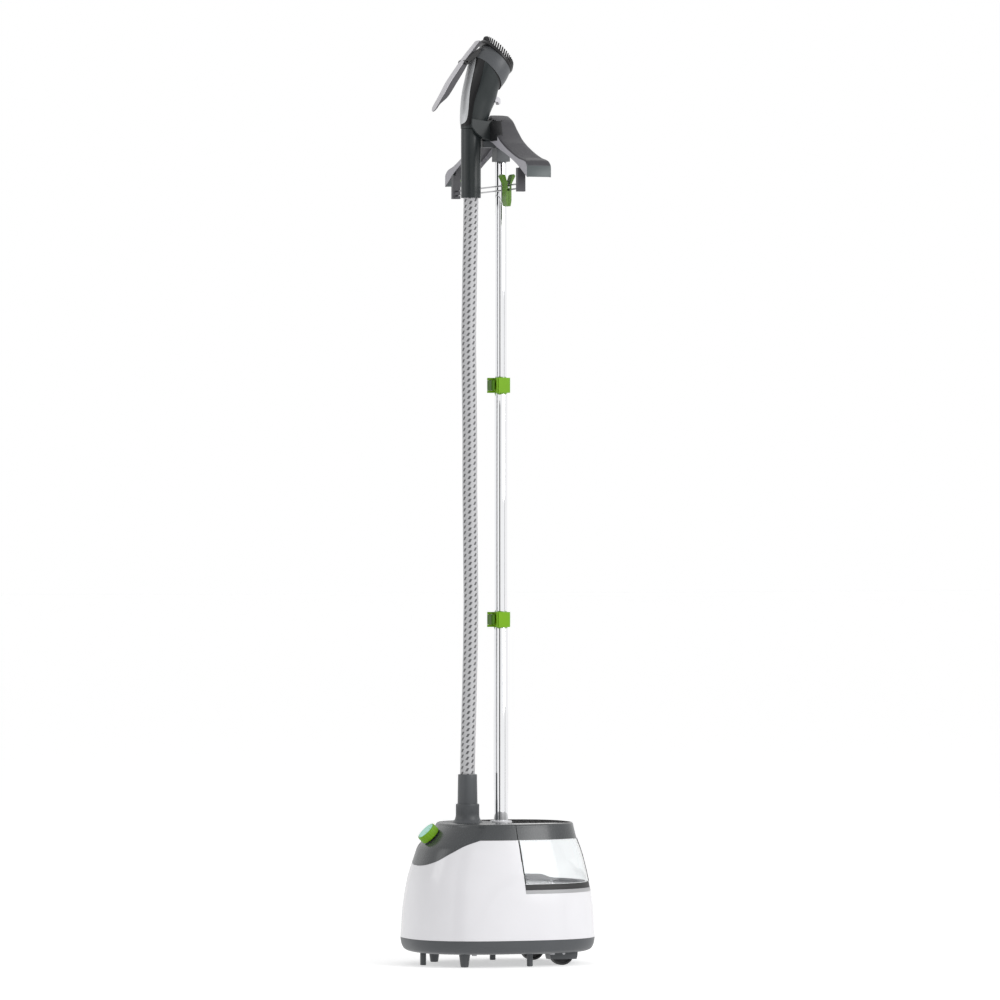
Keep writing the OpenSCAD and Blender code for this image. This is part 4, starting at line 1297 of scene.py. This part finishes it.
@dataclass
class Hanger:
    """The arched hanger, its socket, cradle, posts and rail with two clips."""

    half: float = 200.0
    front: float = -21.5
    rear: float = 20.5
    wall: float = 3.0
    crown: tuple[Pair, ...] = ((0, 1408), (20, 1400), (40, 1385), (72, 1364), (115, 1346),
                               (160, 1332), (192, 1325), (200, 1317))
    edge: tuple[Pair, ...] = ((0, 1364), (20, 1364), (60, 1352), (106, 1338), (152, 1321),
                              (200, 1298))
    rib_pitch: float = 4.0

    def height(self, line: Sequence[Pair], x: float) -> float:
        """Height of a half line at a distance from the middle."""
        return blend_curve([p[0] for p in line], [p[1] for p in line], abs(x))

    def section(self, x: float) -> list[Point]:
        """The channel's cross-section at one place."""
        top, low = self.height(self.crown, x), self.height(self.edge, x)
        grip = step(abs(x), 78, 88) * (1 - step(abs(x), 168, 178))
        ridge = -0.7 * grip * max(0.0, math.cos(2 * math.pi * x / self.rib_pitch)) ** 2
        points: list[Pair] = [(self.front, low)]
        round_r = 3.2
        for turn in (0, 22, 45, 67, 90):
            a = math.radians(turn)
            points.append((self.front + round_r * (1 - math.cos(a)), top - round_r * (1 - math.sin(a))))
        points += [(self.front + 7, top + 0.5 + ridge), (self.front + 14, top + 0.9 + ridge),
                   (self.rear - 14, top + 0.9 + ridge), (self.rear - 7, top + 0.5 + ridge)]
        for turn in (90, 67, 45, 22, 0):
            a = math.radians(turn)
            points.append((self.rear - round_r * (1 - math.cos(a)), top - round_r * (1 - math.sin(a))))
        ceiling = max(top - 3.2, low + 0.5)
        points += [(self.rear, low), (self.rear - self.wall, low),
                   (self.rear - self.wall, ceiling - 0.8), (self.rear - self.wall - 0.8, ceiling),
                   (self.front + self.wall + 0.8, ceiling), (self.front + self.wall, ceiling - 0.8),
                   (self.front + self.wall, low)]
        return [(x * MM, y * MM, z * MM) for y, z in points]

    def build(self, finishes: Finishes) -> None:
        """Builds the arch and finishes the small parts."""
        places = list(np.linspace(-self.half + 0.3, self.half - 0.3, 641))
        arch = loft("hanger_arch", [self.section(float(x)) for x in places])
        for side in (-1, 1):
            # The tip caps carry the lighter copy of the hanger's grey as painted light on the arch's
            # end faces.
            cap = front_prism("tip_cap", [(side * x * MM, z * MM) for x, z in (
                (196.6, 1320.5), (199.2, 1317.6), (199.9, 1316.4), (199.9, 1298.2),
                (196.6, 1299.6))], (self.front + 0.1) * MM, (self.rear - 0.1) * MM)
            smooth(soften(cap, 0.5 * MM), 30)
            cap.name = "hanger_tip_left" if side < 0 else "hanger_tip_right"
            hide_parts("hanger_shell")
            finish_piece(finishes, cap, Body.TOP.value, "hanger_end_painted_light")
        tools = [box_between("slot", (-24.8 * MM, -0.04, 1.3), (24.8 * MM, -13 * MM, 1.42))]
        for side in (-1, 1):
            low, high = sorted((side * 20.6 * MM, side * 24.8 * MM))
            tools.append(box_between("slot", (low, -0.04, 1.3), (high, 0.4 * MM, 1.42)))
        carve(arch, "DIFFERENCE", *tools)
        web = box_between("hanger_web", (-20.6 * MM, -13 * MM, 1.366), (20.6 * MM, -10 * MM, 1.401))
        soften(web, 0.6 * MM)
        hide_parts("hanger_shell")
        finish_piece(finishes, smooth(arch, 30), Body.TOP.value, "hanger_moulding")
        # Painted light: faces that look straight to the front or the rear take the lighter copy of the
        # hanger's grey, for the light on those walls.
        arch.data.materials.append(finishes.materials["hanger_wall_painted_light"])
        for face in arch.data.polygons:
            face.material_index = 1 if abs(face.normal.y) > 0.9 else 0
        self.build_saddle(finishes)
        finish_piece(finishes, web, Body.TOP.value, "hanger_moulding")
        for node, width, name in (("hanger_socket", 0.7, "grey_moulding"),
                                  ("cradle_fork", 0.9, "grip_moulding"),
                                  ("hanger_posts", 1.2, "hanger_moulding")):
            finish_piece(finishes, refined(node, width * MM, 3), Body.TOP.value, name)
        finish_piece(finishes, refined("trouser_rail", 0.2 * MM), Body.TOP.value, "rail_chrome")
        self.build_clips(finishes)

    def build_saddle(self, finishes: Finishes) -> None:
        """The cradle's two dark wings, which lie over the crown's front shoulders."""
        for side, name in ((-1, "cradle_wing_left"), (1, "cradle_wing_right")):
            rings = []
            for x in np.linspace(25.2, 58, 24):
                top = self.height(self.crown, float(x))
                low = max(self.height(self.edge, float(x)) + 1, 1364)
                rear = -3 - 9 * (x - 25.2) / 32.8
                rings.append([(side * x * MM, y * MM, z * MM) for y, z in (
                    (-22.3, min(low, top - 4)), (-22.3, top - 2), (-20.5, top + 0.4),
                    (-15, top + 1.7), (rear, top + 1.9), (rear, top - 1), (-19, top - 1),
                    (-19, min(low, top - 4)))])
            wing = loft(name, rings)
            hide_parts("cradle_fork")
            finish_piece(finishes, smooth(wing, 35), Body.TOP.value, "strip_moulding")

    def build_clips(self, finishes: Finishes) -> None:
        """Rounds and finishes the front and rear jaws of both clips."""
        for side in ("left", "right"):
            for jaw, body in (("front", f"{side}_clip"), ("rear", f"{side}_clip_jaw")):
                node = f"{side}_clip_{jaw}"
                piece = refined(node, 0.7 * MM, 3)
                finish_piece(finishes, piece, jaw_body(node, body), "clip_moulding")


def jaw_body(node: str, fallback: str) -> str:
    """The body that a CAD node rides on."""
    holder = frame["nodes"][node].get("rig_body")
    return holder or fallback


# --- Handset ----------------------------------------------------------------------------


@dataclass
class Handset:
    """The steam handset: grip, silver panel, head band, comb, plate and crease lever."""

    y: float = -47.0
    stations: tuple[tuple[Pair, Pair, float], ...] = (
        ((-17, 1386), (21, 1386), 18.5), ((-17.5, 1402), (28.5, 1400), 20),
        ((-16.5, 1424), (34, 1415), 22.5), ((-13.5, 1447), (40, 1428), 25.5),
        ((-8, 1470), (43, 1437), 30), ((-0.5, 1498), (46.5, 1448), 34.5),
        ((7.5, 1514), (58.5, 1464.5), 37.5), ((21.9, 1525.1), (65.5, 1478.1), 37))
    band_edge: tuple[Pair, ...] = ((-14, 1507), (-6, 1506), (8, 1502), (23, 1488), (38.5, 1470.5),
                                   (46.5, 1458), (49, 1449), (50, 1440), (60, 1430))
    grip_edge: tuple[Pair, ...] = ((-14, 1506.2), (-6, 1505.2), (8, 1501.2), (22.6, 1487),
                                   (35.6, 1468.5), (40.6, 1454), (41, 1443), (41, 1434),
                                   (50, 1422))
    silver_rear: tuple[Pair, ...] = ((3.6, 1503), (-5.5, 1461), (-8.5, 1440), (-12, 1402),
                                     (-20, 1391))
    strip_rear: tuple[Pair, ...] = ((15, 1506), (6.5, 1461), (-1.5, 1429), (-5, 1402),
                                    (-8, 1392), (-20, 1388))
    face: Pair = (43.7, 1501.6)
    tilt: float = -47.2
    oval: Pair = (37.0, 32.05)
    visor: Pair = (37.4, 36.2)
    visor_shift: float = -3.4
    teeth: int = 44
    pivot: Pair = (-12.5, 1496)
    lever_outer: tuple[Pair, ...] = (
        (11, 1532.5), (-5.8, 1511.8), (-16.4, 1497.8), (-27, 1483.5), (-41.2, 1463), (-52, 1443.5),
        (-62, 1425.5), (-67.4, 1413.8))
    lever_inner: tuple[Pair, ...] = (
        (15, 1528), (4.5, 1515.5), (-4.5, 1502), (-16, 1482), (-30, 1460), (-44.5, 1438),
        (-58.5, 1425), (-66, 1413.2))
    lever_half: float = 12.5
    rings: int = 90
    around: int = 112

    @staticmethod
    def curve(points: Sequence[Sequence[float]], count: int) -> np.ndarray:
        """Evenly read points of a smooth curve through the given ones."""
        p = np.array(points, float)
        p = np.vstack([2 * p[0] - p[1], p, 2 * p[-1] - p[-2]])
        out = []
        for t in np.linspace(0, len(points) - 1, count):
            i = min(int(t), len(points) - 2)
            f = t - i
            a, b, c, d = p[i], p[i + 1], p[i + 2], p[i + 3]
            out.append(0.5 * (2 * b + (c - a) * f + (2 * a - 5 * b + 4 * c - d) * f**2
                              + (3 * b - a - 3 * c + d) * f**3))
        return np.array(out)

    def form(self, name: str, grow: float) -> bpy.types.Object:
        """The grip and head in one smooth form.

        Args:
            name: The form's name.
            grow: How far its skin stands out, in millimetres.

        Returns:
            The closed form.
        """
        table = self.curve([(*f, *r, w) for f, r, w in self.stations], self.rings)
        rings = []
        for fy, fz, ry, rz, half in table:
            centre = np.array([(fy + ry) / 2, (fz + rz) / 2])
            arm = np.array([(ry - fy) / 2, (rz - fz) / 2])
            arm *= 1 + grow / np.linalg.norm(arm)
            ring = []
            for k in range(self.around):
                turn = 2 * math.pi * (k + 0.5) / self.around
                c, s = math.cos(turn), math.sin(turn)
                ring.append(((half + grow) * c * MM, (self.y + centre[0] + arm[0] * s) * MM,
                             (centre[1] + arm[1] * s) * MM))
            rings.append(ring)
        return loft(name, rings)

    def plate(self, name: str, outline: Sequence[Pair], half: float = 90.0) -> bpy.types.Object:
        """A side-view outline in the handset's own distances, across its width."""
        return side_prism(name, [((self.y + y) * MM, z * MM) for y, z in outline],
                          -half * MM, half * MM)

    def build(self, finishes: Finishes) -> None:
        """Builds the whole handset."""
        self.build_grip(finishes)
        self.build_head(finishes)
        self.build_lever(finishes)
        self.build_sleeve(finishes)

    def build_grip(self, finishes: Finishes) -> None:
        """The grip body, its dark strip and the silver panel on its front."""
        whole = self.form("handset_form", 0.0)
        upper, lower = self.curve(self.band_edge, 60), self.curve(self.grip_edge, 60)
        below = [tuple(p) for p in lower] + [(80, 1380), (-60, 1380), (-60, 1506.2)]
        grip = carve(duplicate(whole, "grip_form"), "INTERSECT", self.plate("below", below))
        strip = self.curve(self.strip_rear, 50)
        front = [tuple(p) for p in strip] + [(-60, 1388), (-60, 1506)]
        inset = [(y + 0.25, z) for y, z in front[:-2]] + front[-2:]
        band = carve(duplicate(grip, "grip_strip"), "INTERSECT", self.plate("front", front))
        carve(grip, "DIFFERENCE", self.plate("front", inset), self.plate(
            "trigger_slot", [(30, 1421), (60, 1421), (60, 1441), (30, 1441)], 7.6))
        grip.name = "grip_body"
        silver = self.curve(self.silver_rear, 50)
        cover = carve(self.form("grip_panel", 0.9), "INTERSECT",
                      self.plate("cover", [tuple(p) for p in silver]
                                 + [(-60, 1391), (-60, 1503)]))
        carve(cover, "DIFFERENCE", self.form("inner", 0.05))
        # Painted shade: a black piece sunk into the gap between the head band and the grip stands for
        # the shadow under the head's lip.
        neck_shade = carve(self.form("neck_painted_shade", -1.6), "INTERSECT", self.plate(
            "between", [(y, z + 2) for y, z in upper] + [(y, z - 2) for y, z in lower[::-1]]))
        carve(whole, "INTERSECT", self.plate("above", [tuple(p) for p in upper] + [
            (120, 1430), (120, 1600), (-60, 1600), (-60, 1507)]))
        whole.name = "head_band"
        for piece, name, nodes in ((grip, "grip_moulding", ("handle_shell",)),
                                   (band, "strip_moulding", ("handle_shell",)),
                                   (cover, "silver_paint", ("handle_panel",)),
                                   (neck_shade, "black_moulding", ("handle_shell",)),
                                   (whole, "grey_moulding", ("head_shell",))):
            if piece is whole:
                carve(piece, "DIFFERENCE", self.mouth(-8.0, 2.0, -2.7))
            smooth(piece, 34)
            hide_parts(*nodes)
            finish_piece(finishes, piece, Body.HANDSET.value, name)
        finish_piece(finishes, refined("trigger", 0.6 * MM, 3), "trigger", "lever_face")

    def hinge_ears(self) -> bpy.types.Object:
        """The two dark ears that hold the crease lever's pin."""
        outline = [(-14, 1500.2), (0, 1513), (12, 1517), (12, 1508), (-2.5, 1500), (-11, 1491.8)]
        ears = []
        for side in (-1, 1):
            low, high = sorted((side * 13.3 * MM, side * 16.3 * MM))
            ear = side_prism("ear", [((self.y + y) * MM, z * MM) for y, z in outline], low, high)
            drum = turned("drum", [(4.5 * MM, low), (4.5 * MM, high)], 48)
            ears.append(carve(ear, "UNION", moved(drum, self.pin_frame())))
        return soften(joined("lever_hinge", ears), 0.5 * MM)

    def pin_frame(self) -> Matrix:
        """The crease lever's pin, along the handset's width."""
        return Matrix.Translation((0, (self.y + self.pivot[0]) * MM, self.pivot[1] * MM)) @ (
            Matrix.Rotation(QUARTER_TURN, 4, "Y"))

    def face_frame(self) -> Matrix:
        """The steam face's own frame, tilted to the rear and up."""
        return Matrix.Translation((0, (self.y + self.face[0]) * MM, self.face[1] * MM)) @ (
            Matrix.Rotation(math.radians(self.tilt), 4, "X"))

    def oval_ring(self, grow: float, level: float, count: int = 128) -> list[Point]:
        """A ring of the face's oval."""
        return [((self.oval[0] + grow) * math.cos(2 * math.pi * i / count) * MM,
                 (self.oval[1] + grow) * math.sin(2 * math.pi * i / count) * MM, level * MM)
                for i in range(count)]

    def visor_ring(self, grow: float, level: float, count: int) -> list[Point]:
        """A ring of the comb: its outer oval near the skin, the face's oval inside."""
        if grow <= COMB_INNER:
            return self.oval_ring(FACE_OVAL, level, count)
        wide, long = self.visor[0] + grow, self.visor[1] + grow
        return [(wide * math.cos(2 * math.pi * i / count) * MM,
                 (long * math.sin(2 * math.pi * i / count) + self.visor_shift) * MM, level * MM)
                for i in range(count)]

    def mouth(self, low: float, high: float, grow: float) -> bpy.types.Object:
        """The recess that the steam plate sits in."""
        return moved(loft("mouth", [self.oval_ring(grow, low), self.oval_ring(grow, high)]),
                     self.face_frame())

    def build_head(self, finishes: Finishes) -> None:
        """The comb with its rounded teeth, and the steam plate with its holes."""
        count = 128
        profile = [(COMB_INNER, 0.3), (-0.5, 0.3), (-0.1, 0.6), (0.0, 1.4), (-0.1, 4.6),
                   (-0.8, 5.4), (-1.8, 5.6), (-3.8, 5.5), (COMB_INNER, 4.8), (COMB_INNER, 0.3)]
        frame_ring = loft("comb_ring", [self.visor_ring(g, z, count) for g, z in profile])
        drop_caps(frame_ring, count)
        pieces = [frame_ring]
        for i in range(self.teeth):
            turn = 2 * math.pi * (i + 0.5) / self.teeth
            tooth = turned("tooth", [(1.6 * MM, 0.0), (1.55 * MM, 3 * MM), (1.35 * MM, 8 * MM),
                                     (1.1 * MM, 10.2 * MM), (0.5 * MM, 10.8 * MM)], 12)
            moved(tooth, Matrix.Translation((
                (self.oval[0] - 2) * MM * math.cos(turn),
                ((self.oval[1] + 0.6) * math.sin(turn) - 1.4) * MM, 4.6 * MM))
                @ Matrix.Rotation(math.radians(33), 4, "X"))
            pieces.append(tooth)
        comb = moved(joined("comb_moulding", pieces), self.face_frame())
        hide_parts("comb_frame")
        finish_piece(finishes, smooth(comb, 40), Body.HANDSET.value, "strip_moulding")
        ears = self.hinge_ears()
        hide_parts("head_shell")
        finish_piece(finishes, ears, Body.HANDSET.value, "strip_moulding")
        plate = refined("steam_plate", 0.3 * MM)
        finish_piece(finishes, plate, Body.HANDSET.value, "brushed_steel")

    def build_lever(self, finishes: Finishes) -> None:
        """The crease lever: a dark frame under a pale face, with its hinge drum."""
        outer, inner = self.curve(self.lever_outer, 70), self.curve(self.lever_inner, 70)
        for name, near, far, finish in (("lever_skin", 0.0, 0.14, "lever_face"),
                                        ("lever_frame", 0.16, 1.0, "hanger_moulding")):
            rings = []
            for i, (o, n) in enumerate(zip(outer, inner)):
                left = 1 - i / 69
                half = self.lever_half * math.sqrt(max(1 - max(0.0, 1 - left / 0.1) ** 2, 0.02))
                half *= 0.92 + 0.08 * step(left, 0.0, 0.4)
                rings.append(self.lever_section(o, n, near, far, half))
            piece = smooth(loft(name, rings), 38)
            if name == "lever_frame":
                drum = turned("drum", [(4.2 * MM, -12.5 * MM), (4.2 * MM, 12.5 * MM)], 48)
                moved(drum, self.pin_frame())
                piece = smooth(joined("lever_frame_moulding", [piece, drum]), 38)
            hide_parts("crease_lever")
            finish_piece(finishes, piece, Body.LEVER.value, finish)

    def lever_section(self, outer: np.ndarray, inner: np.ndarray, near: float, far: float,
                      half: float) -> list[Point]:
        """One crowned section of the lever between two depths."""
        a, b = outer + (inner - outer) * near, outer + (inner - outer) * far
        depth = inner - outer
        depth = depth / max(float(np.linalg.norm(depth)), 1e-6)
        points = []
        for x in (-1.0, -0.93, -0.7, -0.35, 0.0, 0.35, 0.7, 0.93, 1.0):
            sink = (0.9 * abs(x) ** 4 if near == 0 else 0.0)
            p = a + depth * sink
            points.append((x * half * MM, (self.y + p[0]) * MM, p[1] * MM))
        for x in (1.0, 0.35, -0.35, -1.0):
            points.append((x * half * MM, (self.y + b[0]) * MM, b[1] * MM))
        return points

    def build_sleeve(self, finishes: Finishes) -> None:
        """The dark sleeve round the hose's upper end, with a rolled foot."""
        profile = [(12.8, 1271.4), (13.4, 1271.0), (15.8, 1271.0), (16.4, 1271.5), (16.5, 1272.6),
                   (16.5, 1300), (16.5, 1340), (16.5, 1384.6), (16.2, 1385.6), (15.4, 1385.9),
                   (12.8, 1385.9)]
        rings = scaled(profile)
        sleeve = turned("hose_grip", rings + rings[:1], 96)
        drop_caps(sleeve, 96)
        moved(sleeve, Matrix.Translation((0, self.y * MM, 0)))
        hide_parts("handset_sleeve")
        finish_piece(finishes, smooth(sleeve, 40), Body.HANDSET.value, "grip_moulding")


# --- Small and inner parts --------------------------------------------------------------


@dataclass
class Fittings:
    """Feet, wheels and everything that the frame's own solids already shape well."""

    rounded: tuple[tuple[str, str, float, str], ...] = (
        ("feet", "base", 1.2, "grey_moulding"),
        ("left_wheel", "left_wheel", 0.9, "tyre_rubber"),
        ("right_wheel", "right_wheel", 0.9, "tyre_rubber"),
        ("tray_screws", "base", 0.4, "brushed_steel"),
    )
    kept: dict[str, str] = field(default_factory=lambda: {
        "wheel_axles": "brushed_steel", "tank_bay": "white_moulding",
        "boiler_lower": "cast_aluminium", "boiler_upper": "cast_aluminium",
        "boiler_gasket": "seal_rubber", "boiler_screws": "brushed_steel",
        "heating_element": "brushed_steel", "thermostat": "black_moulding",
        "steam_pipe": "silicone_tube", "feed_pipe": "silicone_tube",
        "valve_receiver": "white_moulding", "dial_switch": "black_moulding",
        "valve_plunger": "white_moulding",
        "lower_lever_pin": "brushed_steel", "upper_lever_pin": "brushed_steel",
        "left_clip_pin": "brushed_steel", "right_clip_pin": "brushed_steel",
        "steam_tube": "silicone_tube", "crease_pin": "brushed_steel"})

    def build(self, finishes: Finishes) -> None:
        """Rounds the small outer parts and the spring, and dresses the inner ones."""
        for node, body, width, name in self.rounded:
            finish_piece(finishes, refined(node, width * MM, 3), body, name)
        spring = refined("valve_spring", 0.05 * MM)
        finish_piece(finishes, smooth(spring, 40), Body.TANK.value, "brushed_steel")
        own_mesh(spring)
        for node, name in self.kept.items():
            source = frame["nodes"][node]
            source.data.materials.clear()
            source.data.materials.append(finishes.materials[name])
            LOG.info("%s keeps its shape in %s", node, name)


def main() -> None:
    """Builds the steamer from the studio and the hose to the smallest fittings."""
    logging.basicConfig(level=logging.INFO, format="%(name)s: %(message)s")
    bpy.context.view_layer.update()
    finishes = Finishes()
    Studio().build()
    SteamHose().build(finishes)
    casing = Casing()
    casing.build(finishes)
    FootDial().build(finishes, casing.knob_frame())
    Collar().build(finishes)
    Pole().build(finishes)
    Hanger().build(finishes)
    Handset().build(finishes)
    Fittings().build(finishes)


if __name__ == "__main__":
    main()
